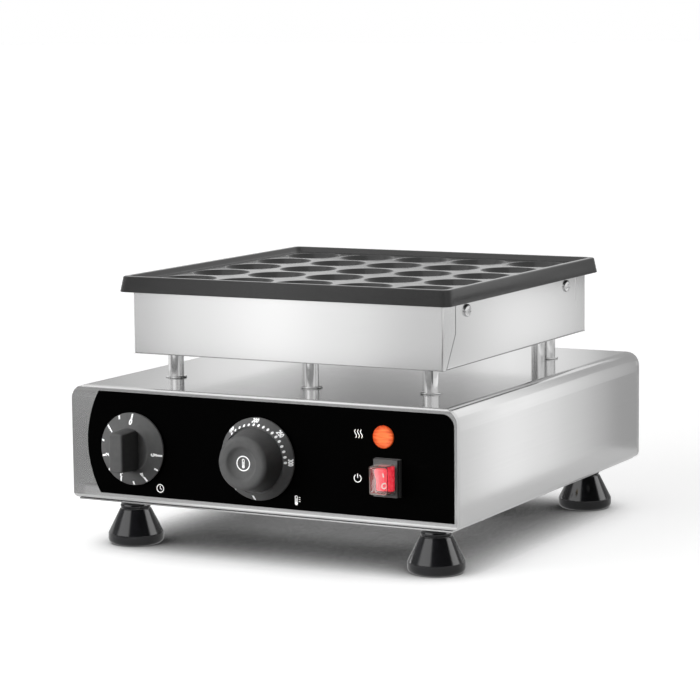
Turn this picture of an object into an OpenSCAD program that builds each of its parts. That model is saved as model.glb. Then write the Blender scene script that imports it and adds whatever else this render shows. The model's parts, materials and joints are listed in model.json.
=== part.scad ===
// Poffertjes maker: a cast plate of round cups over a heater case, carried on posts
// above a sheet steel body that has its controls on the front.
// Millimetres, +X to the right, +Y to the back, +Z up. The origin is on the table,
// under the middle of the whole appliance.

/* [Body] */
// Width of the body, side to side
body_w = 320; // [310:1:360]
// Depth of the body, front face to rear face
body_d = 342; // [325:1:380]
// Height of the shell, without the bottom plate
body_h = 86; // [84:1:110]
// Thickness of the shell's sheet
sheet_t = 1.2; // [0.8:0.1:1.6]
// Outside radius of the shell's upper bends
bend_top_r = 11; // [7:0.5:16]
// Outside radius of the shell's lower bends
bend_low_r = 4.5; // [4.5:0.5:9]
// Width of the shell's returns under the body
return_w = 18; // [16:1:22]
// Thickness of the front and rear panels
panel_t = 1.5; // [1:0.1:2]
// Radius of the panels' upper and lower edges
panel_edge_r = 3; // [2:0.5:4]
// Depth of the flange behind each panel
panel_flange = 14; // [8:1:18]
// Gap between a panel's flange and the shell
panel_gap = 0.2; // [0.1:0.1:0.5]
// Thickness of the bottom plate
bottom_t = 1; // [0.8:0.1:2]
// How far the bottom plate stays inside the sides of the shell
bottom_inset = 4.5; // [4:0.5:7]
// How far the bottom plate stays behind the front and rear faces
bottom_setback = 1; // [0.5:0.5:4]
// Distance of the outer bottom plate screws from the front and rear faces
bottom_screw_inset = 60; // [50:1:80]
// Number of vent slots in each row of the bottom plate
bottom_vents = 9; // [5:1:11]

/* [Feet] */
// Height of a foot
foot_h = 37; // [30:1:50]
// Largest radius of a foot
foot_r = 21.1; // [18:0.1:24]
// Rounding of a foot's lower edge
foot_round = 4; // [2:0.5:6]
// Height of the upright band above that rounding
foot_band = 4.5; // [3:0.5:8]
// Radius of the collar at the top of a foot
foot_neck_r = 11.2; // [9.5:0.1:13]
// Height of that collar
foot_collar_h = 10; // [6:0.5:12]
// Distance of a foot's axis from the side of the body
foot_inset_x = 33; // [31:1:50]
// Distance of a foot's axis from the front or rear face
foot_inset_y = 34; // [28:1:46]
// Diameter of the recess for the screw head under a foot
foot_recess_d = 14; // [13:0.5:18]
// Depth of that recess
foot_recess_h = 22; // [15:1:24]

/* [Control panel] */
// Thickness of the control overlay
overlay_t = 0.5; // [0.3:0.1:1]
// Height of the overlay
overlay_h = 77; // [74:1:80]
// Height of the overlay's lower edge above the body's underside
overlay_low = 6.5; // [6.5:0.5:8]
// Distance of the overlay's right edge from the side of the body
overlay_right = 2.4; // [1.5:0.1:6]
// Rounding of the overlay's upper right corner
overlay_corner_r = 9; // [4:0.5:12]
// Distance of the overlay's left corners from the side of the body
overlay_left = 24.5; // [20:0.5:26]
// How far the overlay's left edge bulges outward
overlay_bulge = 10.5; // [6:0.5:14]
// Height of the knob axes above the body's underside
control_z = 42; // [41:0.5:46]
// Place of the timer, right of the middle
timer_x = -105; // [-108:0.5:-80]
// Place of the thermostat, right of the middle
thermostat_x = 2; // [-10:0.5:20]
// Place of the lamp, right of the middle
lamp_x = 103; // [90:0.5:115]
// Height of the lamp above the body's underside
lamp_z = 64.5; // [64:0.5:68]
// Place of the switch, right of the middle
switch_x = 107; // [90:0.5:115]
// Height of the switch above the body's underside
switch_z = 36; // [30:0.5:37]

/* [Knobs] */
// Gap between a knob and the overlay
knob_gap = 1.5; // [1:0.1:2]
// Height of the straight edge of a knob's skirt
knob_edge = 1.6; // [1:0.1:2.5]
// Wall of a knob's skirt
knob_wall = 2.2; // [1.8:0.1:2.6]
// Radius of a knob's hub
knob_hub_r = 5.2; // [4.8:0.1:7]
// Radius of the timer knob's skirt
timer_skirt_r = 27.2; // [26:0.1:30]
// Radius of the raised ring of the timer knob
timer_ring_r = 16.8; // [16.4:0.1:19]
// Height of that ring above the knob's back
timer_ring_h = 6.4; // [6:0.1:10]
// Height of the finger pocket's floor above the knob's back
timer_pocket_z = 4.8; // [4.8:0.1:5.6]
// Wall between the pocket and the outside of the ring
timer_pocket_wall = 1.2; // [1:0.1:2]
// Height of the bar grip above the knob's back
timer_bar_h = 24.5; // [20:0.5:28]
// Width of the bar grip at its front
timer_bar_w = 11.4; // [10:0.1:14]
// Draft of the bar grip, from front to root, on each side
timer_bar_draft = 0.8; // [0.2:0.1:1.2]
// Radius of the temperature knob's skirt
dial_skirt_r = 30.4; // [29:0.1:33]
// Radius of the shoulder where the barrel stands on the skirt
dial_shoulder_r = 23.8; // [23:0.1:26]
// Height of that shoulder above the knob's back
dial_shoulder_h = 8.4; // [7:0.1:10]
// Radius of the barrel at its root
dial_root_r = 23.2; // [22:0.1:25]
// Radius of the barrel at its front
dial_front_r = 19.8; // [18:0.1:21]
// Height of the barrel's front above the knob's back
dial_h = 25; // [22:0.5:28]
// Chamfer around the barrel's front
dial_chamfer = 1.6; // [0.5:0.1:2.5]
// Radius of the dish in the barrel's front
dial_dish_r = 12.5; // [8:0.5:15]
// Depth of that dish
dial_dish_depth = 3.2; // [1:0.1:4]
// Radius of the hollow inside the barrel
dial_hollow_r = 16.5; // [13:0.5:17]
// Diameter of a control shaft
shaft_d = 6; // [5:0.1:7]
// Height of a control shaft's end above the knob's back
shaft_reach = 16; // [12:0.5:16]
// Depth of the flat on a control shaft
shaft_flat = 1; // [0.6:0.1:1.4]
// Radial clearance of a shaft in its bush
running_gap = 0.05; // [0.02:0.01:0.08]

/* [Control bodies] */
// Diameter of the threaded bush on a control body
bush_d = 10; // [9.2:0.1:11]
// How far that bush stands out of the panel
bush_reach = 4.2; // [4:0.1:4.6]
// Size across flats of the nut on a bush
bush_nut_af = 14; // [13.2:0.2:16]
// Thickness of the nut on a bush
bush_nut_h = 3; // [2:0.1:3.4]
// Width and height of the timer movement
timer_body_w = 46; // [36:1:48]
// Depth of the timer movement
timer_body_l = 30; // [24:1:36]
// Width of the thermostat body
thermostat_body_w = 48; // [36:1:56]
// Height of the thermostat body
thermostat_body_h = 38; // [30:1:44]
// Depth of the thermostat body
thermostat_body_l = 28; // [24:1:32]

/* [Lamp and switch] */
// Radius of the lamp's lens
lens_r = 8.2; // [8:0.1:10]
// Height of the lens above the overlay
lens_h = 1.6; // [1.4:0.1:5]
// Diameter of the lamp's barrel
lamp_d = 13; // [12:0.1:14]
// Wall of the lamp's barrel
lamp_wall = 0.7; // [0.5:0.1:1]
// Length of the lamp's barrel behind the overlay
lamp_l = 26; // [20:1:34]
// Width of the switch flange
switch_flange_w = 20.2; // [20:0.1:24]
// Height of the switch flange
switch_flange_h = 27.2; // [27:0.1:32]
// Thickness of the switch flange
switch_flange_t = 2.6; // [1.5:0.1:3]
// Width of the collar that stands on the flange
switch_collar_w = 18.8; // [18.4:0.1:19.8]
// Height of that collar
switch_collar_h = 26.7; // [26:0.1:26.8]
// How far the collar's front stands off the overlay
switch_collar_l = 5.8; // [5.4:0.1:8]
// Width of the switch body behind the panel
switch_body_w = 18.6; // [18.2:0.1:18.8]
// Height of the switch body behind the panel
switch_body_h = 25.4; // [23:0.1:25.6]
// Depth of the switch body behind the overlay
switch_body_l = 30; // [24:1:36]
// Width of the splash cover
cover_w = 14.6; // [14.4:0.1:15.6]
// Height of the splash cover
cover_h = 20.6; // [20.2:0.1:21]
// How far the splash cover stands off the collar
cover_l = 11.9; // [11:0.1:14]
// Wall of the splash cover
cover_wall = 0.8; // [0.6:0.1:0.9]
// Depth to which the splash cover is let into the collar
cover_seat = 1; // [0.6:0.1:1.4]
// Width of the rocker
rocker_w = 12.4; // [11:0.1:12.6]
// Half height of the rocker at its front
rocker_half = 7.8; // [6:0.1:7.9]
// How far the middle of the rocker's face stands off the panel
rocker_z = 8; // [7.6:0.1:9]
// Tilt of the rocker to each side
rocker_tilt = 12; // [8:0.5:12]
// Diameter of the rocker's pivot
pivot_d = 3; // [2:0.1:3.4]
// Place of that pivot in front of the panel
pivot_z = 3.8; // [3:0.1:4]

/* [Posts and tubes] */
// Clear height between the body and the heater case
post_h = 20; // [16:1:40]
// Diameter of a post
post_d = 12; // [10:0.5:16]
// Distance of a post's axis from the sides of the case
post_inset_x = 22; // [18:0.5:30]
// Distance of a post's axis from the front and rear of the case
post_inset_y = 24.5; // [20:0.5:25]
// Diameter of the washer under a post
washer_d = 16.5; // [16:0.5:20]
// Thickness of that washer
washer_t = 1.2; // [0.8:0.1:2]
// Diameter of the post bolts and foot screws
bolt_d = 6; // [5:0.5:6]
// Diametral clearance of a bolt in its hole
bolt_gap = 0.4; // [0.2:0.1:0.6]
// Outside diameter of the wire and capillary tubes
tube_d = 10.8; // [9:0.2:12]
// Bore of those tubes
tube_bore = 8; // [6:0.2:8.4]
// Length of a tube inside the body and inside the case
tube_reach = 9; // [8:0.5:12]
// Place of the wire tube, right of the middle
wire_tube_x = 14; // [-20:1:40]
// Distance of the wire tube from the front of the case
wire_tube_inset = 16.5; // [14:0.5:24]
// Distance of the capillary tube from the rear of the case
capillary_tube_inset = 43; // [42:0.5:60]

/* [Heater case] */
// Width and depth of the case
case_w = 260; // [250:1:280]
// Height of the case, from its underside to the rim of the plate
case_h = 47; // [45:1:70]
// Thickness of the case's sheet
case_t = 1; // [0.8:0.1:1.4]
// Outside radius of the case's bends
case_bend_r = 1.5; // [1.5:0.1:4]
// Width of the end walls' side flaps
flap_w = 20.5; // [16:0.5:28]
// Width of a flap at its foot
flap_foot = 5; // [4.5:0.5:8]
// Height at which a flap reaches its full width
flap_bend_z = 25; // [15:1:30]
// Seam between a flap and the side wall
seam_gap = 0.3; // [0.2:0.1:0.6]
// Distance of the side screws from the middle of the case
case_screw_y = 91; // [70:1:95]
// Height of the side screws below the plate's rim
case_screw_drop = 7; // [6:0.5:7.5]
// Diameter of the side screws
case_screw_d = 5; // [4:0.5:5]
// Diameter of a side screw's head
case_screw_head_d = 9.4; // [8:0.1:11]

/* [Baking plate] */
// Width of the plate's rim at its underside
rim_w = 277; // [272:1:300]
// Height of the rim
rim_h = 12; // [10:0.5:16]
// How far the outside of the rim leans in, on each side
rim_draft = 2; // [0.5:0.1:3]
// Radius of the rim's corners
rim_corner_r = 5.5; // [4:0.5:10]
// Width of the rim's flat top
rim_top_w = 4; // [2:0.1:5]
// Depth of the lands below the rim's top
land_drop = 3.8; // [2:0.1:5]
// How far the inside of the rim leans out, from the lands to the top
rim_slope = 2.4; // [1:0.1:3]
// Number of cups along each side
cup_count = 5; // [4:1:5]
// Distance between neighbouring cups
cup_pitch = 50; // [48:0.5:51]
// Diameter of a cup at the lands
cup_d = 45; // [40:0.5:47]
// Depth of a cup
cup_depth = 10.5; // [8:0.5:11]
// Diameter of a cup's flat floor
cup_floor_d = 20; // [10:0.5:26]
// Depth of the block under the rim
block_h = 11; // [10.5:0.5:14]
// Gap between the block and the case
block_gap = 0.6; // [0.4:0.1:1.5]

/* [Heating] */
// Diameter of the tubular element
element_d = 7.5; // [6:0.1:8.5]
// Number of runs of the element
element_runs = 6; // [4:2:6]
// Distance between neighbouring runs
element_pitch = 35; // [28:1:37]
// Length of a run's straight stretch
element_run = 170; // [140:1:180]
// Length of the element's cold ends
element_end = 12; // [8:1:14]
// Length of a clamp bar
clamp_l = 192; // [180:1:196]
// Width of a clamp bar
clamp_w = 16; // [12:1:20]
// Thickness of a clamp bar
clamp_t = 3; // [2:0.5:4]
// Distance of the clamp bars from the middle
clamp_y = 60; // [40:1:70]
// Thickness of the insulation pad
pad_t = 16; // [10:1:18]
// Gap around the insulation pad
pad_gap = 1.5; // [1:0.5:4]
// Diameter of the thermostat's bulb
bulb_d = 6; // [4:0.5:6.5]
// Length of the thermostat's bulb
bulb_l = 90; // [60:1:100]
// Diameter of the capillary
capillary_d = 2.2; // [1.6:0.1:3]

/* [Rear] */
// Diameter of the gland's thread
gland_d = 20; // [16:0.5:22]
// Size across flats of the gland and its locknut
gland_af = 26; // [25.6:0.2:30]
// How far the gland stands out of the rear
gland_reach = 19; // [14:0.5:26]
// Bore of the gland
gland_bore = 10; // [7:0.1:11]
// Place of the gland, right of the middle
gland_x = 95; // [60:1:110]
// Height of the gland above the body's underside
gland_z = 30; // [24:1:40]
// Number of vent slots in each rear group
rear_vents = 8; // [4:1:9]
// Length of a vent slot
vent_l = 30; // [20:1:36]
// Width of a vent slot
vent_w = 4; // [3:0.5:5]
// Distance between vent slots
vent_pitch = 10; // [8:0.5:11]
// Length of the terminal block
terminal_l = 64; // [50:1:70]
// Width of the terminal block
terminal_w = 22; // [18:1:26]
// Height of the terminal block
terminal_h = 20; // [16:1:24]
// Length of the ear at each end of the terminal block
terminal_ear = 10; // [9:0.5:12]
// Thickness of those ears
terminal_ear_t = 4; // [3:0.5:6]
// Diameter of a terminal's wire hole
terminal_hole_d = 4; // [3:0.1:5]
// Depth of a terminal's wire hole
terminal_hole_l = 8; // [5:0.5:10]
// How far the terminal block's middle lies left of the gland
terminal_offset = 25; // [20:1:40]
// Distance of the terminal block from the rear face
terminal_setback = 75; // [65:1:90]
// Distance of the earth stud from the terminal block's end
earth_gap = 14; // [10:0.5:18]
// Height of the earth stud above the bottom plate
earth_h = 14; // [10:0.5:20]
// Length of the gland's thread behind the rear panel
gland_thread = 9; // [7:0.5:12]
// Thickness of the gland's hexagon and of its locknut
gland_hex_h = 5; // [4:0.5:7]
// Length of the taper at the gland's mouth
gland_taper = 4; // [2:0.5:6]

/* [Hidden] */
$fn = 64;
eps = 0.01;
fit_gap = 0.05;

steel = [0.78, 0.79, 0.80];
dark_steel = [0.55, 0.56, 0.57];
black_plastic = [0.10, 0.10, 0.11];
knob_grey = [0.27, 0.27, 0.27];
brass = [0.75, 0.62, 0.30];
white_wool = [0.88, 0.87, 0.82];
coated_iron = [0.20, 0.20, 0.20];

// Outward reach of the front and rear, which sets the origin under the middle
front_reach = overlay_t + max(knob_gap + max(timer_bar_h, dial_h), switch_collar_l + cover_l);
face_y = front_reach - (front_reach + body_d + gland_reach) / 2;
back_y = face_y + body_d;
mid_y = (face_y + back_y) / 2;
panel_rim = panel_edge_r + panel_t;
case_half = case_w / 2;

// Levels
under_z = foot_h;
shell_z = under_z + bottom_t;
top_z = shell_z + body_h;
case_z = top_z + post_h;
rim_z = case_z + case_h;
plate_top_z = rim_z + rim_h;
land_z = plate_top_z - land_drop;
block_z = rim_z - block_h;
element_z = block_z - element_d / 2 - fit_gap;
bulb_z = block_z - bulb_d / 2 - fit_gap;
knob_z = under_z + control_z;

// Fasteners
nut_af = 1.67 * bolt_d;
nut_h = 0.8 * bolt_d;
head_d = 1.8 * bolt_d;
head_h = 0.65 * bolt_d;
bolt_hole_d = bolt_d + bolt_gap;
small_d = 4;
small_head_d = 7.6;
small_head_h = 2.6;
small_tip = 6;

// Places
foot_x = body_w / 2 - foot_inset_x;
foot_ys = [face_y + foot_inset_y, back_y - foot_inset_y];
post_x = case_half - post_inset_x;
post_ys = [mid_y - case_half + post_inset_y, mid_y + case_half - post_inset_y];
wire_tube_y = mid_y - case_half + wire_tube_inset;
capillary_tube_y = mid_y + case_half - capillary_tube_inset;
tube_places = [[wire_tube_x, wire_tube_y], [post_x, capillary_tube_y]];
post_places = [for (x = [-post_x, post_x]) for (y = post_ys) [x, y]];
tube_nut_af = tube_d + 4;
tube_nut_h = 4;
bottom_screw_x = body_w / 2 - (bottom_inset + return_w) / 2;
bottom_screw_ys = [face_y + bottom_screw_inset, mid_y, back_y - bottom_screw_inset];
case_screw_z = rim_z - case_screw_drop;
clamp_screw_xs = [-2 * element_pitch, 0, 2 * element_pitch];
clip_screw_x = post_x + bulb_d / 2 + 6;
terminal_x = gland_x - terminal_offset;
terminal_y = back_y - terminal_setback;
terminal_screw_dx = (terminal_l - terminal_ear) / 2;
earth_x = terminal_x + terminal_l / 2 + earth_gap;
capillary_z = knob_z + 8;

// Flat rounded rectangle about the origin
module rounded(w, h, r) {
    square([w - 2 * r, h], center = true);
    square([w, h - 2 * r], center = true);
    for (x = [-1, 1])
        for (y = [-1, 1])
            translate([x * (w / 2 - r), y * (h / 2 - r)])
                circle(r);
}

// Outline of the body in X and Z, drawn inside the shell by inset
module body_outline(inset) {
    half = body_w / 2 - inset;
    low = shell_z + inset;
    high = top_z - inset;
    rt = bend_top_r - inset;
    rl = bend_low_r - inset;
    translate([-half, low + rl])
        square([2 * half, high - low - rt - rl]);
    translate([-half + rt, high - rt - eps])
        square([2 * (half - rt), rt + eps]);
    translate([-half + rl, low])
        square([2 * (half - rl), rl + eps]);
    for (side = [-1, 1]) {
        translate([side * (half - rt), high - rt])
            circle(rt);
        translate([side * (half - rl), low + rl])
            circle(rl);
    }
}

// Extrude a flat shape drawn in X and Z from y0 to y1
module along_y(y0, y1) {
    translate([0, y1, 0])
        rotate([90, 0, 0])
            linear_extrude(y1 - y0)
                children();
}

// Extrude a flat shape drawn in Y and Z from x0 to x1
module along_x(x0, x1) {
    translate([x0, 0, 0])
        rotate([90, 0, 90])
            linear_extrude(x1 - x0)
                children();
}

// Put a piece on the front face: its Z points out of the panel and its Y points up
module on_front(x, z) {
    translate([x, face_y, under_z + z])
        rotate([90, 0, 0])
            children();
}

// Put a piece on the rear face: its Z points out of the panel
module on_rear(x, z) {
    translate([x, back_y, under_z + z])
        rotate([-90, 0, 0])
            children();
}

// Upright cylinder from z0 to z1
module rod(d, z0, z1) {
    translate([0, 0, z0])
        cylinder(d = d, h = z1 - z0);
}

// Hexagonal nut from z0 to z1 with its bore
module hex_nut(af, bore, z0, z1) {
    difference() {
        translate([0, 0, z0])
            cylinder(d = af / cos(30), h = z1 - z0, $fn = 6);
        rod(bore, z0 - 1, z1 + 1);
    }
}

// Pan-head screw along Z: the head's seat at 0, its head above, its shank below
module pan_screw(d, head_d, head_h, shank) {
    rod(d, -shank, 0.5);
    rotate_extrude()
        intersection() {
            translate([0, head_h - head_d])
                circle(head_d, $fn = 96);
            square([head_d / 2, head_h]);
        }
}

// Sheet steel shell

module body_shell() {
    color(steel)
        difference() {
            along_y(face_y + panel_rim, back_y - panel_rim)
                difference() {
                    body_outline(0);
                    body_outline(sheet_t);
                    translate([-body_w / 2 + return_w, shell_z - 1])
                        square([body_w - 2 * return_w, sheet_t + 2]);
                }
            for (p = post_places)
                translate(p)
                    rod(bolt_hole_d, top_z - bend_top_r, top_z + 1);
            for (p = tube_places)
                translate(p)
                    rod(tube_d + bolt_gap, top_z - bend_top_r, top_z + 1);
            for (x = [-bottom_screw_x, bottom_screw_x])
                for (y = bottom_screw_ys)
                    translate([x, y])
                        rod(small_d + bolt_gap, shell_z - 1, shell_z + sheet_t + 1);
        }
}

// Panel that closes one end of the shell: a plate with a rim flush with the shell, a flange
// inside the shell and rounded upper and lower edges. The way in is +1 at the front, -1 at
// the rear.
module end_panel(y_out, way) {
    flange_inset = sheet_t + panel_gap;
    y_plate = y_out + way * panel_t;
    y_rim = y_out + way * panel_rim;
    y_flange = y_rim + way * panel_flange;
    difference() {
        union() {
            along_y(min(y_out, y_plate), max(y_out, y_plate))
                body_outline(0);
            along_y(min(y_out, y_rim), max(y_out, y_rim))
                difference() {
                    body_outline(0);
                    body_outline(flange_inset + panel_t);
                }
            along_y(min(y_out, y_flange), max(y_out, y_flange))
                difference() {
                    body_outline(flange_inset);
                    body_outline(flange_inset + panel_t);
                }
        }
        for (edge = [[shell_z, 1], [top_z, -1]])
            along_x(-body_w, body_w)
                translate([y_out, edge[0]])
                    difference() {
                        square(2 * panel_edge_r, center = true);
                        translate([way * panel_edge_r, edge[1] * panel_edge_r])
                            circle(panel_edge_r);
                    }
    }
}

module control_cuts() {
    for (x = [timer_x, thermostat_x])
        on_front(x, control_z)
            rod(bush_d + bolt_gap, -2 * panel_t, 2 * panel_t);
    on_front(lamp_x, lamp_z)
        rod(lamp_d + bolt_gap, -2 * panel_t, 2 * panel_t);
    on_front(switch_x, switch_z)
        translate([0, 0, -2 * panel_t])
            linear_extrude(4 * panel_t)
                square([switch_body_w + bolt_gap, switch_body_h + bolt_gap], center = true);
}

module front_panel() {
    color(steel)
        difference() {
            end_panel(face_y, 1);
            control_cuts();
        }
}

module rear_panel() {
    color(steel)
        difference() {
            end_panel(back_y, -1);
            on_rear(gland_x, gland_z)
                rod(gland_d + bolt_gap, -2 * panel_t, panel_t);
            for (side = [-1, 1])
                for (i = [0 : rear_vents - 1])
                    on_rear(side * (vent_pitch * (i + 0.5) + 4) - 40, body_h - vent_l / 2 - 16)
                        translate([0, 0, -2 * panel_t])
                            linear_extrude(3 * panel_t)
                                rounded(vent_w, vent_l, vent_w / 2 - eps);
        }
}

// Black plate under the controls: bulged left edge, one rounded corner
module control_overlay() {
    left = -body_w / 2 + overlay_left;
    right = body_w / 2 - overlay_right;
    half_h = overlay_h / 2;
    bulge_r = (half_h * half_h + overlay_bulge * overlay_bulge) / (2 * overlay_bulge);
    color(black_plastic)
        difference() {
            along_y(face_y - overlay_t, face_y)
                translate([0, under_z + overlay_low]) {
                    translate([left + 0.5, 0])
                        square([right - left - 0.5 - overlay_corner_r, overlay_h]);
                    translate([left + 0.5, 0])
                        square([right - left - 0.5, overlay_h - overlay_corner_r]);
                    translate([right - overlay_corner_r, overlay_h - overlay_corner_r])
                        circle(overlay_corner_r);
                    intersection() {
                        translate([left - overlay_bulge + bulge_r, half_h])
                            circle(bulge_r, $fn = 128);
                        translate([left - overlay_bulge, 0])
                            square([overlay_bulge + 1, overlay_h]);
                    }
                }
            control_cuts();
            for (x = [timer_x, thermostat_x])
                on_front(x, control_z)
                    rod(bush_nut_af / cos(30) + 1, -eps, 2 * overlay_t);
        }
}

module bottom_plate() {
    half = body_w / 2 - bottom_inset;
    color(dark_steel)
        difference() {
            translate([-half, face_y + bottom_setback, under_z])
                cube([2 * half, body_d - 2 * bottom_setback, bottom_t]);
            for (x = [-foot_x, foot_x])
                for (y = foot_ys)
                    translate([x, y])
                        rod(bolt_hole_d, under_z - 1, shell_z + 1);
            for (x = [-bottom_screw_x, bottom_screw_x])
                for (y = bottom_screw_ys)
                    translate([x, y])
                        rod(small_d + bolt_gap, under_z - 1, shell_z + 1);
            for (side = [-1, 1])
                translate([terminal_x + side * terminal_screw_dx, terminal_y])
                    rod(small_d + bolt_gap, under_z - 1, shell_z + 1);
            translate([earth_x, terminal_y])
                rod(small_d + bolt_gap, under_z - 1, shell_z + 1);
            for (i = [0 : bottom_vents - 1])
                for (row = [-1, 0, 1])
                    translate([
                        (i - (bottom_vents - 1) / 2) * 2 * vent_pitch, mid_y + row * 1.6 * vent_l, under_z - 1
                    ])
                        linear_extrude(bottom_t + 2)
                            rounded(vent_w, vent_l, vent_w / 2 - eps);
        }
}

module bottom_screws() {
    color(dark_steel)
        for (x = [-bottom_screw_x, bottom_screw_x])
            for (y = bottom_screw_ys)
                translate([x, y, under_z])
                    rotate([180, 0, 0])
                        pan_screw(small_d, small_head_d, small_head_h, bottom_t + sheet_t + small_tip);
}

// Feet

module foot(x, y) {
    contact_r = foot_r - foot_round;
    color(black_plastic)
        translate([x, y])
            difference() {
                rotate_extrude() {
                    polygon([
                        [0, foot_round], [foot_r, foot_round], [foot_r, foot_round + foot_band],
                        [foot_neck_r, foot_h - foot_collar_h], [foot_neck_r, foot_h], [0, foot_h]
                    ]);
                    square([contact_r, foot_round + eps]);
                    intersection() {
                        translate([contact_r, foot_round])
                            circle(foot_round);
                        square([foot_r, foot_round + eps]);
                    }
                }
                rod(foot_recess_d, -1, foot_recess_h);
                rod(bolt_hole_d, 0, foot_h + 1);
            }
}

module foot_front_left() foot(-foot_x, foot_ys[0]);
module foot_front_right() foot(foot_x, foot_ys[0]);
module foot_rear_left() foot(-foot_x, foot_ys[1]);
module foot_rear_right() foot(foot_x, foot_ys[1]);

module foot_screws() {
    shank = under_z - foot_recess_h + bottom_t + nut_h + 2;
    color(dark_steel)
        for (x = [-foot_x, foot_x])
            for (y = foot_ys)
                translate([x, y, foot_recess_h])
                    rotate([180, 0, 0])
                        pan_screw(bolt_d, head_d, head_h, shank);
}

module foot_nuts() {
    color(dark_steel)
        for (x = [-foot_x, foot_x])
            for (y = foot_ys)
                translate([x, y])
                    hex_nut(nut_af, bolt_d + 2 * fit_gap, shell_z, shell_z + nut_h);
}

// Controls. Heights here run outward from the front panel's face.

knob_back = overlay_t + knob_gap;
hub_start = bush_reach + 0.6;
collar_z = -panel_t - 8;
shaft_tail = -panel_t - 20;

// Movement or thermostat housing behind the panel, with its bush and the shaft's bearing
module control_housing(w, h, l) {
    difference() {
        union() {
            translate([0, 0, -panel_t - l / 2])
                cube([w, h, l], center = true);
            rod(bush_d, -panel_t - 1, bush_reach);
            for (side = [-1, 1])
                translate([side * w / 4, -h / 4, -panel_t - l - 4])
                    cube([6.3, 0.8, 8.1], center = true);
        }
        rod(shaft_d + 2 * running_gap, shaft_tail - 1, bush_reach + 1);
        rod(shaft_d + 4.6, collar_z - 0.5, collar_z + 2.5);
    }
}

module control_shaft() {
    difference() {
        rod(shaft_d, shaft_tail, knob_back + shaft_reach);
        translate([-shaft_d, shaft_d / 2 - shaft_flat, hub_start])
            cube([2 * shaft_d, shaft_d, knob_back + shaft_reach]);
    }
    rod(shaft_d + 3.8, collar_z, collar_z + 2);
}

// Bore of a knob's hub, with the flat that carries the shaft
module shaft_bore() {
    difference() {
        rod(shaft_d + 2 * fit_gap, 0, knob_back + shaft_reach + 0.3);
        translate([-shaft_d, shaft_d / 2 - shaft_flat + fit_gap, 0])
            cube([2 * shaft_d, shaft_d, 2 * (knob_back + shaft_reach)]);
    }
}

module timer_movement() {
    color(dark_steel)
        on_front(timer_x, control_z)
            control_housing(timer_body_w, timer_body_w, timer_body_l);
}

module thermostat_body() {
    color(dark_steel)
        on_front(thermostat_x, control_z)
            control_housing(thermostat_body_w, thermostat_body_h, thermostat_body_l);
}

module bush_nut(x) {
    color(brass)
        on_front(x, control_z)
            hex_nut(bush_nut_af, bush_d + 2 * fit_gap, 0, bush_nut_h);
}

module timer_nut() bush_nut(timer_x);
module thermostat_nut() bush_nut(thermostat_x);

module timer_shaft() color(steel) on_front(timer_x, control_z) control_shaft();
module thermostat_shaft() color(steel) on_front(thermostat_x, control_z) control_shaft();

// Bar grip across a numbered skirt, with a finger pocket on each side of the bar
module timer_knob() {
    cavity_top = timer_pocket_z - knob_wall;
    slope = (timer_skirt_r - timer_ring_r) / (timer_ring_h - knob_edge);
    cavity_r = timer_skirt_r - slope * (cavity_top - knob_edge) - 1.4 * knob_wall;
    pocket_r = timer_ring_r - timer_pocket_wall;
    bar_root_w = timer_bar_w + 2 * timer_bar_draft;
    bar_root_z = timer_pocket_z - 1;
    bar_end_r = pocket_r - timer_bar_draft;
    color(knob_grey)
        on_front(timer_x, control_z)
            difference() {
                translate([0, 0, knob_back]) {
                    difference() {
                        rotate_extrude($fn = 96)
                            polygon([
                                [0, 0], [timer_skirt_r, 0], [timer_skirt_r, knob_edge],
                                [timer_ring_r, timer_ring_h], [0, timer_ring_h]
                            ]);
                        rod(2 * pocket_r, timer_pocket_z, timer_ring_h + 1);
                        rotate_extrude($fn = 96)
                            polygon([
                                [0, -1], [timer_skirt_r - knob_wall, -1], [timer_skirt_r - knob_wall, 0],
                                [cavity_r, cavity_top], [0, cavity_top]
                            ]);
                    }
                    intersection() {
                        cylinder(r1 = timer_ring_r, r2 = bar_end_r, h = timer_bar_h, $fn = 96);
                        rotate([90, 0, 0])
                            translate([0, 0, -timer_ring_r])
                                linear_extrude(2 * timer_ring_r)
                                    polygon([
                                        [-bar_root_w / 2, bar_root_z], [bar_root_w / 2, bar_root_z],
                                        [timer_bar_w / 2, timer_bar_h], [-timer_bar_w / 2, timer_bar_h]
                                    ]);
                    }
                    rod(2 * knob_hub_r, hub_start - knob_back, timer_pocket_z);
                }
                shaft_bore();
            }
}

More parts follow.
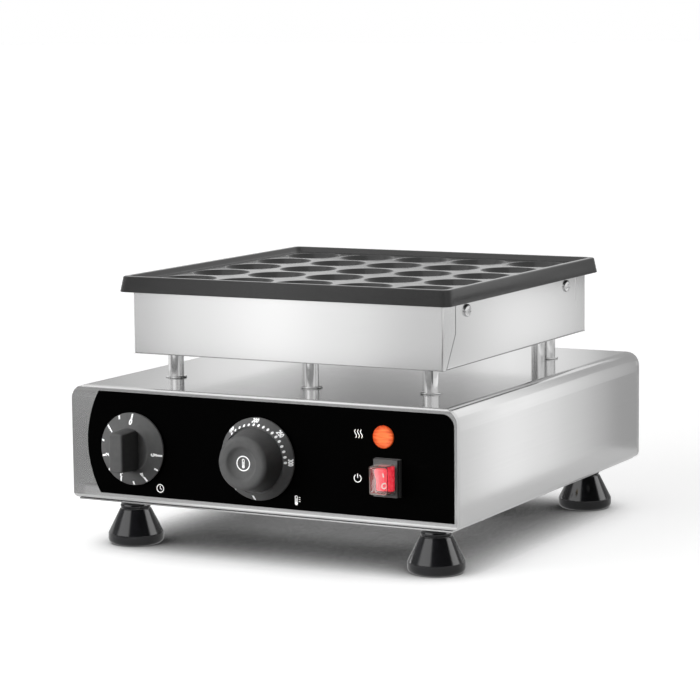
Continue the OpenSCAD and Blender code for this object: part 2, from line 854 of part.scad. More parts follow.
// Tapered barrel with a dished front on a dotted skirt
module temperature_knob() {
    cavity_top = dial_shoulder_h - 1.6 * knob_wall;
    cavity_r = dial_shoulder_r - 0.4 * knob_wall;
    hollow_top = dial_h - dial_dish_depth - 1.5 * knob_wall;
    dish_sphere = (dial_dish_r * dial_dish_r + dial_dish_depth * dial_dish_depth) / (2 * dial_dish_depth);
    color(knob_grey)
        on_front(thermostat_x, control_z)
            difference() {
                translate([0, 0, knob_back]) {
                    difference() {
                        rotate_extrude($fn = 96)
                            polygon([
                                [0, 0], [dial_skirt_r, 0], [dial_skirt_r, knob_edge],
                                [dial_shoulder_r, dial_shoulder_h], [dial_root_r, dial_shoulder_h],
                                [dial_front_r, dial_h - dial_chamfer], [dial_front_r - dial_chamfer, dial_h],
                                [0, dial_h]
                            ]);
                        rotate_extrude($fn = 96)
                            polygon([
                                [0, -1], [dial_skirt_r - knob_wall, -1], [dial_skirt_r - knob_wall, 0],
                                [cavity_r, cavity_top], [dial_hollow_r, cavity_top],
                                [dial_hollow_r, hollow_top], [0, hollow_top]
                            ]);
                        translate([0, 0, dial_h - dial_dish_depth + dish_sphere])
                            sphere(dish_sphere, $fn = 128);
                    }
                    rod(2 * knob_hub_r, hub_start - knob_back, hollow_top + 0.5);
                    for (turn = [0 : 90 : 270])
                        rotate(turn)
                            translate([knob_hub_r - 1, -0.8, cavity_top - 1])
                                cube([dial_hollow_r - knob_hub_r + 1.5, 1.6, hollow_top - cavity_top + 1.5]);
                }
                shaft_bore();
            }
}

// Sensing bulb under the plate, and its capillary down the tube to the thermostat
module thermostat_bulb() {
    tail_y = face_y + panel_t + thermostat_body_l;
    bulb_y = mid_y - bulb_l / 2;
    route = [
        [post_x, mid_y + bulb_l / 2 - 1, bulb_z], [post_x, capillary_tube_y, bulb_z],
        [post_x, capillary_tube_y, capillary_z], [thermostat_x, capillary_tube_y, capillary_z],
        [thermostat_x, tail_y, capillary_z]
    ];
    color(brass) {
        translate([post_x, bulb_y + bulb_l, bulb_z])
            rotate([90, 0, 0])
                cylinder(d = bulb_d, h = bulb_l);
        for (i = [0 : len(route) - 2])
            capillary_leg(route[i], route[i + 1]);
        for (i = [1 : len(route) - 2])
            translate(route[i])
                sphere(d = capillary_d, $fn = 32);
    }
}

// Straight length of capillary between two points that differ along one axis
module capillary_leg(a, b) {
    step = b - a;
    turn = abs(step[0]) > eps ? [0, 90, 0] : abs(step[1]) > eps ? [90, 0, 0] : [0, 0, 0];
    translate((a + b) / 2)
        rotate(turn)
            cylinder(d = capillary_d, h = norm(step), center = true, $fn = 32);
}

// Strap that presses the bulb to the plate, on a spacer around its screw
module bulb_clip() {
    strap_z = bulb_z - bulb_d / 2 - fit_gap;
    color(steel)
        difference() {
            union() {
                translate([post_x - bulb_d / 2, mid_y - 6, strap_z - 1.5])
                    cube([clip_screw_x + 5 - post_x + bulb_d / 2, 12, 1.5]);
                translate([clip_screw_x, mid_y])
                    rod(8, strap_z - 1, block_z);
            }
            translate([clip_screw_x, mid_y])
                rod(small_d + bolt_gap, strap_z - 3, block_z + 1);
        }
}

// Lamp

module lamp_barrel() {
    color(white_wool)
        on_front(lamp_x, lamp_z) {
            difference() {
                rod(lamp_d, -lamp_l, overlay_t);
                rod(lamp_d - 2 * lamp_wall, -lamp_l + 3, overlay_t + 1);
            }
            for (side = [-1, 1])
                translate([side * 3, 0, -lamp_l - 3.5])
                    cube([0.8, 4.8, 7.2], center = true);
        }
}

module lamp_nut() {
    color(black_plastic)
        on_front(lamp_x, lamp_z)
            hex_nut(lamp_d + 4, lamp_d + 2 * fit_gap, -panel_t - 3.5, -panel_t);
}

module lamp_lens() {
    stub_r = lamp_d / 2 - lamp_wall - fit_gap;
    color("darkorange")
        on_front(lamp_x, lamp_z)
            translate([0, 0, overlay_t])
                difference() {
                    rotate_extrude()
                        polygon([
                            [0, -5], [stub_r, -5], [stub_r, 0], [lens_r, 0],
                            [lens_r, 0.45 * lens_h], [lens_r - 1.1, 0.85 * lens_h], [0, lens_h]
                        ]);
                    rod(2 * stub_r - 2.4, -6, 0.3 * lens_h);
                }
}

// Mains switch

cover_gap = 0.1;
cover_top = overlay_t + switch_collar_l + cover_l;
pocket_w = cover_w - 2 * cover_wall + 2 * cover_gap;
pocket_h = cover_h - 2 * cover_wall + 2 * cover_gap;
pocket_z = pivot_z - 7.5;
pivot_reach = pocket_w / 2 + 1.2;

module plate_at(w, h, z0, z1) {
    translate([0, 0, z0])
        linear_extrude(z1 - z0)
            square([w, h], center = true);
}

module switch_body() {
    color([0.27, 0.27, 0.28])
        on_front(switch_x, switch_z)
            difference() {
                union() {
                    plate_at(switch_body_w, switch_body_h, -switch_body_l, overlay_t + eps);
                    plate_at(switch_flange_w, switch_flange_h, overlay_t, overlay_t + switch_flange_t);
                    plate_at(switch_collar_w, switch_collar_h, overlay_t, overlay_t + switch_collar_l);
                    for (y = [-1, 0, 1])
                        for (x = [-1, 1])
                            translate([x * 4.5, y * 8, -switch_body_l - 3.5])
                                cube([0.8, 6.3, 7.2], center = true);
                }
                plate_at(pocket_w, pocket_h, pocket_z, cover_top);
                plate_at(
                    cover_w + 2 * fit_gap, cover_h + 2 * fit_gap,
                    overlay_t + switch_collar_l - cover_seat, cover_top
                );
                translate([-pivot_reach - 0.4, 0, pivot_z])
                    rotate([0, 90, 0])
                        cylinder(d = pivot_d + 2 * running_gap, h = 2 * pivot_reach + 0.8);
            }
}

// Rocker with two faces that meet at its middle, tilted with its lower end pressed in
module switch_rocker() {
    end_z = rocker_z + rocker_half * tan(rocker_tilt);
    color("crimson")
        on_front(switch_x, switch_z)
            translate([0, 0, pivot_z])
                rotate([rocker_tilt, 0, 0]) {
                    rotate([90, 0, 90])
                        translate([0, 0, -rocker_w / 2])
                            linear_extrude(rocker_w)
                                polygon([
                                    [-rocker_half - 0.5, -3.5], [rocker_half + 0.5, -3.5],
                                    [rocker_half, end_z - pivot_z], [0, rocker_z - pivot_z],
                                    [-rocker_half, end_z - pivot_z]
                                ]);
                    translate([-pivot_reach, 0, 0])
                        rotate([0, 90, 0])
                            cylinder(d = pivot_d, h = 2 * pivot_reach);
                }
}

module switch_cover() {
    seat_z = overlay_t + switch_collar_l - cover_seat;
    inner_w = cover_w - 2 * cover_wall;
    inner_h = cover_h - 2 * cover_wall;
    color([0.9, 0.9, 0.9, 0.5])
        on_front(switch_x, switch_z)
            difference() {
                plate_at(cover_w, cover_h, seat_z, cover_top);
                plate_at(inner_w, inner_h, seat_z - 1, cover_top - cover_wall);
            }
}

// Cable entry and terminals

gland_cap_d = 0.88 * gland_af;

module cable_gland() {
    color(black_plastic)
        on_rear(gland_x, gland_z)
            difference() {
                union() {
                    rod(gland_d, -panel_t - gland_thread, eps);
                    cylinder(d = gland_af / cos(30), h = gland_hex_h, $fn = 6);
                    rod(gland_cap_d, gland_hex_h - eps, gland_reach - gland_taper);
                    translate([0, 0, gland_reach - gland_taper])
                        cylinder(d1 = gland_cap_d, d2 = (gland_cap_d + gland_bore) / 2, h = gland_taper);
                }
                rod(gland_bore, -panel_t - gland_thread - 1, gland_reach + 1);
            }
}

module gland_nut() {
    color(black_plastic)
        on_rear(gland_x, gland_z)
            hex_nut(gland_af, gland_d + 2 * fit_gap, -panel_t - gland_hex_h, -panel_t);
}

module terminal_block() {
    pole_pitch = (terminal_l - 2 * terminal_ear) / 4;
    color(white_wool)
        translate([terminal_x, terminal_y, shell_z])
            difference() {
                union() {
                    translate([-terminal_l / 2, -terminal_w / 2, 0])
                        cube([terminal_l, terminal_w, terminal_ear_t]);
                    translate([-terminal_l / 2 + terminal_ear, -terminal_w / 2, 0])
                        cube([terminal_l - 2 * terminal_ear, terminal_w, terminal_h]);
                }
                for (i = [-1.5 : 1 : 1.5])
                    for (y = [-terminal_w / 4, terminal_w / 4])
                        translate([i * pole_pitch, y])
                            rod(terminal_hole_d, terminal_h - terminal_hole_l, terminal_h + 1);
                for (side = [-1, 1])
                    translate([side * terminal_screw_dx, 0])
                        rod(small_d + bolt_gap, -1, terminal_ear_t + 1);
            }
}

module terminal_screws() {
    color(dark_steel)
        for (side = [-1, 1])
            translate([terminal_x + side * terminal_screw_dx, terminal_y, shell_z + terminal_ear_t])
                pan_screw(small_d, small_head_d, small_head_h, terminal_ear_t + bottom_t + small_tip / 3);
}

module earth_stud() {
    color(brass)
        translate([earth_x, terminal_y]) {
            rod(small_d, under_z - small_head_h, shell_z + earth_h);
            rod(small_head_d, under_z - small_head_h, under_z);
            translate([0, 0, shell_z])
                cylinder(d = 1.7 * small_d / cos(30), h = 0.8 * small_d, $fn = 6);
        }
}

// Posts and tubes between the body and the case

module post(x, y) {
    color(steel)
        translate([x, y])
            difference() {
                rod(post_d, top_z + washer_t, case_z);
                rod(bolt_hole_d, top_z, case_z + 1);
            }
}

module post_front_left() post(-post_x, post_ys[0]);
module post_front_right() post(post_x, post_ys[0]);
module post_rear_left() post(-post_x, post_ys[1]);
module post_rear_right() post(post_x, post_ys[1]);

module washer(bore) {
    difference() {
        rod(washer_d, top_z, top_z + washer_t);
        rod(bore, top_z - 1, top_z + washer_t + 1);
    }
}

module post_washers() {
    color(steel) {
        for (p = post_places)
            translate(p)
                washer(bolt_hole_d);
        translate(tube_places[0])
            washer(tube_d + 2 * fit_gap);
    }
}

module post_bolts() {
    color(dark_steel)
        for (p = post_places)
            translate([p[0], p[1], case_z + case_t])
                pan_screw(bolt_d, head_d, head_h, case_t + case_z - top_z + sheet_t + nut_h + 2);
}

module post_nuts() {
    color(dark_steel)
        for (p = post_places)
            translate(p)
                hex_nut(nut_af, bolt_d + 2 * fit_gap, top_z - sheet_t - nut_h, top_z - sheet_t);
}

module tube(p) {
    color(steel)
        translate(p)
            difference() {
                rod(tube_d, top_z - sheet_t - tube_reach, case_z + case_t + tube_reach);
                rod(tube_bore, top_z - sheet_t - tube_reach - 1, case_z + case_t + tube_reach + 1);
            }
}

module wire_tube() tube(tube_places[0]);
module capillary_tube() tube(tube_places[1]);

module tube_nuts() {
    low = top_z - sheet_t;
    high = case_z + case_t;
    color(brass)
        for (p = tube_places)
            translate(p) {
                hex_nut(tube_nut_af, tube_d + 2 * fit_gap, low - tube_nut_h, low);
                hex_nut(tube_nut_af, tube_d + 2 * fit_gap, high, high + tube_nut_h);
            }
}

// Heater case

// Side flap in Y and Z, from the case's corner, widened by extra
module flap_outline(extra) {
    polygon([
        [-1, -1], [flap_foot + extra, -1], [flap_foot + extra, 0], [flap_w + extra, flap_bend_z],
        [flap_w + extra, case_h + 1], [-1, case_h + 1]
    ]);
}

// The flaps of both ends, through both side walls
module flap_prisms(extra) {
    for (turn = [0, 180])
        translate([0, mid_y, case_z])
            rotate(turn)
                translate([0, -case_half, 0])
                    along_x(-case_half - 1, case_half + 1)
                        flap_outline(extra);
}

// Bottom and side walls, folded from one sheet and cut away where the flaps lie
module case_pan() {
    color(steel)
        difference() {
            along_y(mid_y - case_half + case_t, mid_y + case_half - case_t)
                difference() {
                    case_profile(0);
                    case_profile(case_t);
                }
            difference() {
                flap_prisms(seam_gap);
                translate([-case_half + case_bend_r, mid_y - case_half, case_z - 1])
                    cube([case_w - 2 * case_bend_r, case_w, 2 + case_t]);
            }
            for (p = post_places)
                translate(p)
                    rod(bolt_hole_d, case_z - 1, case_z + case_t + 1);
            for (p = tube_places)
                translate(p)
                    rod(tube_d + bolt_gap, case_z - 1, case_z + case_t + 1);
            case_screw_holes(case_screw_d + bolt_gap, case_half + 1, case_half - 2 * case_t);
        }
}

// Section of the pan in X and Z, open at the top
module case_profile(inset) {
    half = case_half - inset;
    r = case_bend_r - inset;
    translate([-half, case_z + inset + r])
        square([2 * half, case_h - inset - r + (inset > 0 ? 1 : 0)]);
    translate([-half + r, case_z + inset])
        square([2 * (half - r), r + eps]);
    for (side = [-1, 1])
        translate([side * (half - r), case_z + inset + r])
            circle(r);
}

// Holes along X in both sides, from x_out in to x_in
module case_screw_holes(d, x_out, x_in) {
    for (side = [-1, 1])
        for (y = [-case_screw_y, case_screw_y])
            translate([side * x_out, mid_y + y, case_screw_z])
                rotate([0, -90 * side, 0])
                    cylinder(d = d, h = x_out - x_in);
}

// End wall with its two side flaps, at the front; the rear one is turned round
module case_end() {
    color(steel)
        intersection() {
            translate([0, 0, case_z])
                linear_extrude(case_h)
                    difference() {
                        rounded(case_w, case_w, case_bend_r);
                        rounded(case_w - 2 * case_t, case_w - 2 * case_t, case_bend_r - case_t);
                    }
            translate([0, -mid_y, 0])
                union() {
                    flap_prisms(0);
                    along_y(mid_y - case_half - 1, mid_y - case_half + case_t)
                        case_profile(0);
                }
            translate([-case_w, -case_w, case_z - 1])
                cube([2 * case_w, case_w, case_h + 2]);
        }
}

module case_front() translate([0, mid_y, 0]) case_end();
module case_rear() translate([0, mid_y, 0]) rotate(180) case_end();

module case_screws() {
    color(steel)
        for (side = [-1, 1])
            for (y = [-case_screw_y, case_screw_y])
                translate([side * case_half, mid_y + y, case_screw_z])
                    rotate([0, 90 * side, 0])
                        pan_screw(case_screw_d, case_screw_head_d, 0.28 * case_screw_head_d, 12);
}

// Baking plate

cup_sphere = ball_radius(cup_d / 2, cup_floor_d / 2, cup_depth);

// Radius of the ball whose zone runs from the cup's edge to its flat floor
function ball_radius(edge_r, floor_r, depth) =
    let (rise = (edge_r * edge_r - floor_r * floor_r - depth * depth) / (2 * depth))
    sqrt(floor_r * floor_r + (depth + rise) * (depth + rise));

// Hollow of one cup below the lands, open at the top
module cup() {
    rise = sqrt(cup_sphere * cup_sphere - cup_d * cup_d / 4);
    rotate_extrude($fn = 96)
        intersection() {
            translate([0, rise])
                circle(cup_sphere, $fn = 128);
            translate([0, -cup_depth])
                square([cup_d / 2 + 1, cup_depth]);
        }
    cylinder(d = cup_d, h = land_drop + 1);
}

// Square slab with round corners that leans from one width to another
module leaning_slab(w0, w1, r, z0, z1) {
    hull()
        for (x = [-1, 1])
            for (y = [-1, 1]) {
                translate([x * (w0 / 2 - r), y * (w0 / 2 - r), z0])
                    cylinder(r = r, h = eps, $fn = 32);
                translate([x * (w1 / 2 - r), y * (w1 / 2 - r), z1 - eps])
                    cylinder(r = r, h = eps, $fn = 32);
            }
}

module baking_plate() {
    top_w = rim_w - 2 * rim_draft;
    mouth_w = top_w - 2 * rim_top_w;
    field_w = mouth_w - 2 * rim_slope;
    block_w = case_w - 2 * case_t - 2 * block_gap;
    cup_places = [for (i = [0 : cup_count - 1]) (i - (cup_count - 1) / 2) * cup_pitch];
    rise_per_mm = rim_slope / land_drop;
    mouth_over_w = mouth_w + 2 * rise_per_mm;
    color(coated_iron)
        difference() {
            translate([0, mid_y, 0]) {
                leaning_slab(rim_w, top_w, rim_corner_r, rim_z, plate_top_z);
                translate([0, 0, block_z])
                    linear_extrude(block_h + 1)
                        rounded(block_w, block_w, rim_corner_r);
            }
            translate([0, mid_y, 0]) {
                leaning_slab(field_w, mouth_over_w, rim_corner_r - 2, land_z, plate_top_z + 1);
                for (x = cup_places)
                    for (y = cup_places)
                        translate([x, y, land_z])
                            cup();
                for (x = clamp_screw_xs)
                    for (y = [-clamp_y, clamp_y])
                        translate([x, y])
                            rod(small_d + 2 * fit_gap, block_z - 1, block_z + small_tip);
                translate([clip_screw_x, 0])
                    rod(small_d + 2 * fit_gap, block_z - 1, block_z + small_tip);
            }
            case_screw_holes(case_screw_d + 2 * fit_gap, case_half, case_half - 13);
        }
}

// Heating

module heating_element() {
    first_x = -(element_runs - 1) / 2 * element_pitch;
    half = element_run / 2;
    color(dark_steel)
        translate([0, mid_y, element_z]) {
            for (i = [0 : element_runs - 1])
                translate([first_x + i * element_pitch, half, 0])
                    rotate([90, 0, 0])
                        cylinder(d = element_d, h = element_run);
            for (i = [0 : element_runs - 2])
                translate([first_x + (i + 0.5) * element_pitch, i % 2 == 0 ? half : -half, 0])
                    rotate(i % 2 == 0 ? 0 : 180)
                        rotate_extrude(angle = 180)
                            translate([element_pitch / 2, 0])
                                circle(d = element_d);
            for (side = [-1, 1])
                translate([side * first_x, -half, 0])
                    rotate([90, 0, 0]) {
                        cylinder(d = element_d, h = element_end);
                        cylinder(d = element_d / 2, h = element_end + 10);
                    }
        }
}

module element_clamps() {
    clamp_z = element_z - element_d / 2 - fit_gap - clamp_t;
    color(steel)
        for (y = [-clamp_y, clamp_y])
            translate([0, mid_y + y, clamp_z])
                difference() {
                    linear_extrude(clamp_t)
                        rounded(clamp_l, clamp_w, 3);
                    for (x = clamp_screw_xs)
                        translate([x, 0])
                            rod(small_d + bolt_gap, -1, clamp_t + 1);
                }
}

module clamp_screws() {
    clamp_seat = element_z - element_d / 2 - fit_gap - clamp_t;
    clip_seat = bulb_z - bulb_d / 2 - fit_gap - 1.5;
    color(dark_steel) {
        for (x = clamp_screw_xs)
            for (y = [-clamp_y, clamp_y])
                translate([x, mid_y + y, clamp_seat])
                    rotate([180, 0, 0])
                        pan_screw(small_d, small_head_d, small_head_h, block_z - clamp_seat + small_tip - 1);
        translate([clip_screw_x, mid_y, clip_seat])
            rotate([180, 0, 0])
                pan_screw(small_d, small_head_d, small_head_h, block_z - clip_seat + small_tip - 1);
    }
}

module insulation_pad() {
    pad_w = case_w - 2 * case_t - 2 * pad_gap;
    color(white_wool)
        difference() {
            translate([0, mid_y, case_z + case_t])
                linear_extrude(pad_t)
                    rounded(pad_w, pad_w, case_bend_r);
            for (p = post_places)
                translate(p)
                    rod(head_d + 3, case_z, case_z + case_t + pad_t + 1);
            for (p = tube_places)
                translate(p)
                    rod(tube_nut_af / cos(30) + 2, case_z, case_z + case_t + pad_t + 1);
        }
}

body_shell();
front_panel();
control_overlay();
rear_panel();
bottom_plate();
bottom_screws();
foot_front_left();
foot_front_right();
foot_rear_left();
foot_rear_right();
foot_screws();
foot_nuts();
timer_movement();
timer_nut();
timer_shaft();
timer_knob();
thermostat_body();
thermostat_nut();
thermostat_shaft();
temperature_knob();
thermostat_bulb();
bulb_clip();
lamp_barrel();
lamp_nut();
lamp_lens();
switch_body();
switch_rocker();
switch_cover();
cable_gland();
gland_nut();
terminal_block();
terminal_screws();
earth_stud();
post_front_left();
post_front_right();
post_rear_left();
post_rear_right();
post_washers();
post_bolts();
post_nuts();
wire_tube();
capillary_tube();
tube_nuts();
case_pan();
case_front();
case_rear();
case_screws();
baking_plate();
heating_element();
element_clamps();
clamp_screws();
insulation_pad();
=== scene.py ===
import json
import math

import bmesh
import bpy
from mathutils import Matrix, Vector


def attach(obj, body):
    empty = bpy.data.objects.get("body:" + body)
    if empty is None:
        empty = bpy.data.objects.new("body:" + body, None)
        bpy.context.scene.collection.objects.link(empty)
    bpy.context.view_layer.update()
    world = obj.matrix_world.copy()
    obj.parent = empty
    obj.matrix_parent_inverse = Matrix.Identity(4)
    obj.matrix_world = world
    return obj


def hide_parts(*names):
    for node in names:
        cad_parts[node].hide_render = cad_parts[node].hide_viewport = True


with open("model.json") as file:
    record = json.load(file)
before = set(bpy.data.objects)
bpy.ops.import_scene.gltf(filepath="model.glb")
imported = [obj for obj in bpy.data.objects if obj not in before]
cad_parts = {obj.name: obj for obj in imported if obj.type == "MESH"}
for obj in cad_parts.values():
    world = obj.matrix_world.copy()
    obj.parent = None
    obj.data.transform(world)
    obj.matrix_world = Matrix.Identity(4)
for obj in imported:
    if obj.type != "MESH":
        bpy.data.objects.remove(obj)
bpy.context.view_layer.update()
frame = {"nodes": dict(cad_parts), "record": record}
nodes = frame["nodes"]
scene = bpy.context.scene
scene.view_settings.view_transform = "Standard"

MM = 0.001

# Levels and places of the appliance in millimetres, in the model's frame
FACE_Y = -167.0
MID_Y = 4.0
CONTROL_Z = 79.0
TIMER_X = -105.0
THERMOSTAT_X = 2.0
LAMP = (103.0, 101.5)
SWITCH = (107.0, 73.0)
OVERLAY_T = 0.5
KNOB_BACK = 2.0
SHELL_TOP = 124.0
FEET = [
    ("front", "left", -127.0, -133.0), ("front", "right", 127.0, -133.0),
    ("rear", "left", -127.0, 141.0), ("rear", "right", 127.0, 141.0),
]
POSTS = [(x, y) for x in (-108.0, 108.0) for y in (-101.5, 109.5)]
WIRE_TUBE = (14.0, -109.5)
CASE_HALF, CASE_SCREW_Y, CASE_SCREW_Z = 130.0, 91.0, 184.0

# Outer and inner edge of each knob's sloping skirt as (radius, height)
TIMER_SKIRT = ((27.2, 1.6), (16.8, 6.4))
TEMPERATURE_SKIRT = ((30.4, 1.6), (23.8, 8.4))

# Rocker: slope of its two faces, height of their crease and of the pivot above the panel
ROCKER_TILT, ROCKER_CREASE, ROCKER_PIVOT = math.radians(12.0), 8.0, 3.8


# ---- Camera, light and floor

def set_camera():
    """The photograph's view, as fitted: place, heading, tilt and roll."""
    place = Vector((928.018, -1775.567, 396.812)) * MM
    heading, tilt, roll = (math.radians(a) for a in (27.891, 7.357, -0.591))
    back = Vector((
        math.sin(heading) * math.cos(tilt),
        -math.cos(heading) * math.cos(tilt),
        math.sin(tilt),
    ))
    right = (-back).cross(Vector((0, 0, 1))).normalized()
    up = right.cross(-back)
    across = right * math.cos(roll) + up * math.sin(roll)
    upward = up * math.cos(roll) - right * math.sin(roll)
    data = bpy.data.cameras.new("camera")
    data.sensor_width = 36.0
    data.lens = 133.715
    data.clip_end = 100.0
    camera = bpy.data.objects.new("camera", data)
    turn = Matrix((across, upward, back)).transposed().to_4x4()
    camera.matrix_world = Matrix.Translation(place) @ turn
    scene.collection.objects.link(camera)
    scene.camera = camera


def map_range(tree, value, low, high, to_low, to_high):
    """A value from low to high, mapped on to_low to to_high."""
    node = tree.nodes.new("ShaderNodeMapRange")
    for key, number in (("From Min", low), ("From Max", high), ("To Min", to_low), ("To Max", to_high)):
        node.inputs[key].default_value = number
    tree.links.new(value, node.inputs["Value"])
    return node.outputs["Result"]


def blend(tree, factor, first, second):
    """Value between first and second, each a number or a socket."""
    node = tree.nodes.new("ShaderNodeMix")
    tree.links.new(factor, node.inputs["Factor"])
    for key, given in (("A", first), ("B", second)):
        if isinstance(given, (int, float)):
            node.inputs[key].default_value = given
        else:
            tree.links.new(given, node.inputs[key])
    return node.outputs["Result"]


def set_world():
    """White where it is seen directly, in metal or in glass.

    As light it comes from overhead and, near the horizon, from the left in front.
    """
    left_in_front = (-0.574, -0.819, 0.0)
    side_light, far_side_light, top_light, other_light = 9.0, 0.02, 0.8, 0.08
    world = bpy.data.worlds.new("studio")
    scene.world = world
    world.use_nodes = True
    tree = world.node_tree
    sky = tree.nodes["Background"]
    sky.inputs["Color"].default_value = (1.0, 1.0, 1.0, 1.0)
    path = tree.nodes.new("ShaderNodeLightPath")
    total = path.outputs["Is Camera Ray"]
    for kind in ("Is Glossy Ray", "Is Transmission Ray"):
        add = tree.nodes.new("ShaderNodeMath")
        add.operation = "MAXIMUM"
        tree.links.new(total, add.inputs[0])
        tree.links.new(path.outputs[kind], add.inputs[1])
        total = add.outputs[0]
    coords = tree.nodes.new("ShaderNodeTexCoord")
    split = tree.nodes.new("ShaderNodeSeparateXYZ")
    tree.links.new(coords.outputs["Generated"], split.inputs[0])
    aim = tree.nodes.new("ShaderNodeVectorMath")
    aim.operation = "DOT_PRODUCT"
    aim.inputs[1].default_value = left_in_front
    tree.links.new(coords.outputs["Generated"], aim.inputs[0])
    horizon = map_range(tree, aim.outputs["Value"], 0.76, 0.92, far_side_light, side_light)
    low = map_range(tree, split.outputs["Z"], 0.3, 0.5, 1.0, 0.0)
    top = map_range(tree, split.outputs["Z"], 0.72, 0.9, 0.0, 1.0)
    light = blend(tree, top, blend(tree, low, other_light, horizon), top_light)
    tree.links.new(blend(tree, total, light, 1.0), sky.inputs["Strength"])


def set_sun():
    """Weak soft key light from the upper left in front."""
    heading, height = math.radians(-32), math.radians(55)
    towards = Vector((
        math.sin(heading) * math.cos(height),
        -math.cos(heading) * math.cos(height),
        math.sin(height),
    ))
    data = bpy.data.lights.new("soft_sun", "SUN")
    data.energy = 0.4
    data.angle = math.radians(60)
    sun = bpy.data.objects.new("soft_sun", data)
    sun.rotation_euler = towards.to_track_quat("Z", "Y").to_euler()
    scene.collection.objects.link(sun)


def set_floor():
    """White floor with a painted shadow that darkens it where the appliance is close above it; metal sees it as a
    pale grey.
    """
    paper_seen, glow_seen = 0.6, 0.66
    paper_in_metal, glow_in_metal = 0.6, 0.42
    paper_as_light = 0.06
    shadow_reach = 0.1
    mesh = bpy.data.meshes.new("floor")
    reach = 30.0
    mesh.from_pydata(
        [(-reach, -reach, 0), (reach, -reach, 0), (reach, reach, 0), (-reach, reach, 0)], [], [(0, 1, 2, 3)]
    )
    floor = bpy.data.objects.new("floor", mesh)
    scene.collection.objects.link(floor)
    mat = bpy.data.materials.new("pale_floor")
    mat.use_nodes = True
    tree = mat.node_tree
    tree.nodes.clear()
    out = tree.nodes.new("ShaderNodeOutputMaterial")
    paper = tree.nodes.new("ShaderNodeBsdfDiffuse")
    glow = tree.nodes.new("ShaderNodeEmission")
    both = tree.nodes.new("ShaderNodeAddShader")
    path = tree.nodes.new("ShaderNodeLightPath")
    # Painted shadow: ambient occlusion darkens the floor's colour and its glow under the appliance
    near = tree.nodes.new("ShaderNodeAmbientOcclusion")
    near.samples = 16
    near.inputs["Distance"].default_value = shadow_reach
    painted_contact_shadow = map_range(tree, near.outputs["AO"], 0.13, 0.65, 0.03, 1.0)
    parts = []
    for share in (paper_seen, glow_seen):
        part = tree.nodes.new("ShaderNodeMath")
        part.operation = "MULTIPLY"
        part.inputs[1].default_value = share
        tree.links.new(painted_contact_shadow, part.inputs[0])
        parts.append(part.outputs[0])
    seen = blend(tree, path.outputs["Is Glossy Ray"], paper_as_light, paper_in_metal)
    shade = blend(tree, path.outputs["Is Camera Ray"], seen, parts[0])
    hidden = blend(tree, path.outputs["Is Glossy Ray"], 0.0, glow_in_metal)
    lift = blend(tree, path.outputs["Is Camera Ray"], hidden, parts[1])
    tree.links.new(shade, paper.inputs["Color"])
    tree.links.new(lift, glow.inputs["Strength"])
    tree.links.new(paper.outputs[0], both.inputs[0])
    tree.links.new(glow.outputs[0], both.inputs[1])
    tree.links.new(both.outputs[0], out.inputs["Surface"])
    mesh.materials.append(mat)


def reflector(name, corners, faces, places, stops, one_sided):
    """Glowing surface seen only in reflections; stops are pairs of place, 0 to 1, and brightness."""
    mesh = bpy.data.meshes.new(name)
    mesh.from_pydata([tuple(c * MM for c in p) for p in corners], [], faces)
    layer = mesh.uv_layers.new(name="UVMap")
    for loop, place in zip(layer.data, places):
        loop.uv = (place, 0.5)
    obj = bpy.data.objects.new(name, mesh)
    scene.collection.objects.link(obj)
    mat = bpy.data.materials.new(name)
    mat.use_nodes = True
    tree = mat.node_tree
    tree.nodes.clear()
    out = tree.nodes.new("ShaderNodeOutputMaterial")
    glow = tree.nodes.new("ShaderNodeEmission")
    peak = max(level for _, level in stops)
    glow.inputs["Strength"].default_value = peak
    ramp = tree.nodes.new("ShaderNodeValToRGB")
    ramp.color_ramp.interpolation = "EASE" if len(stops) < 10 else "LINEAR"
    uv = tree.nodes.new("ShaderNodeUVMap")
    split = tree.nodes.new("ShaderNodeSeparateXYZ")
    while len(ramp.color_ramp.elements) < len(stops):
        ramp.color_ramp.elements.new(0.5)
    for element, (place, level) in zip(ramp.color_ramp.elements, stops):
        element.position = place
        element.color = (*grey(level / peak), 1.0)
    tree.links.new(uv.outputs["UV"], split.inputs[0])
    tree.links.new(split.outputs["X"], ramp.inputs["Fac"])
    tree.links.new(ramp.outputs["Color"], glow.inputs["Color"])
    lit = glow.outputs[0]
    if one_sided:
        facing = tree.nodes.new("ShaderNodeNewGeometry")
        clear = tree.nodes.new("ShaderNodeBsdfTransparent")
        pick = tree.nodes.new("ShaderNodeMixShader")
        tree.links.new(facing.outputs["Backfacing"], pick.inputs[0])
        tree.links.new(lit, pick.inputs[1])
        tree.links.new(clear.outputs[0], pick.inputs[2])
        lit = pick.outputs[0]
    tree.links.new(lit, out.inputs["Surface"])
    mesh.materials.append(mat)
    obj.visible_camera = False
    obj.visible_diffuse = False
    obj.visible_shadow = False
    obj.visible_transmission = False


def card(name, start, end, low, high, stops, one_sided=False):
    """Upright reflector from start to end in plan, low to high.

    A one-sided card shows on the right of the way from start to end.
    """
    (x0, y0), (x1, y1) = start, end
    corners = [(x0, y0, low), (x1, y1, low), (x1, y1, high), (x0, y0, high)]
    reflector(name, corners, [(0, 1, 2, 3)], (0, 1, 1, 0), stops, one_sided)


# Level directions from the appliance to the camera and to the camera's right
VIEW_AHEAD, VIEW_SIDE = Vector((0.468, -0.884)), Vector((0.884, 0.468))


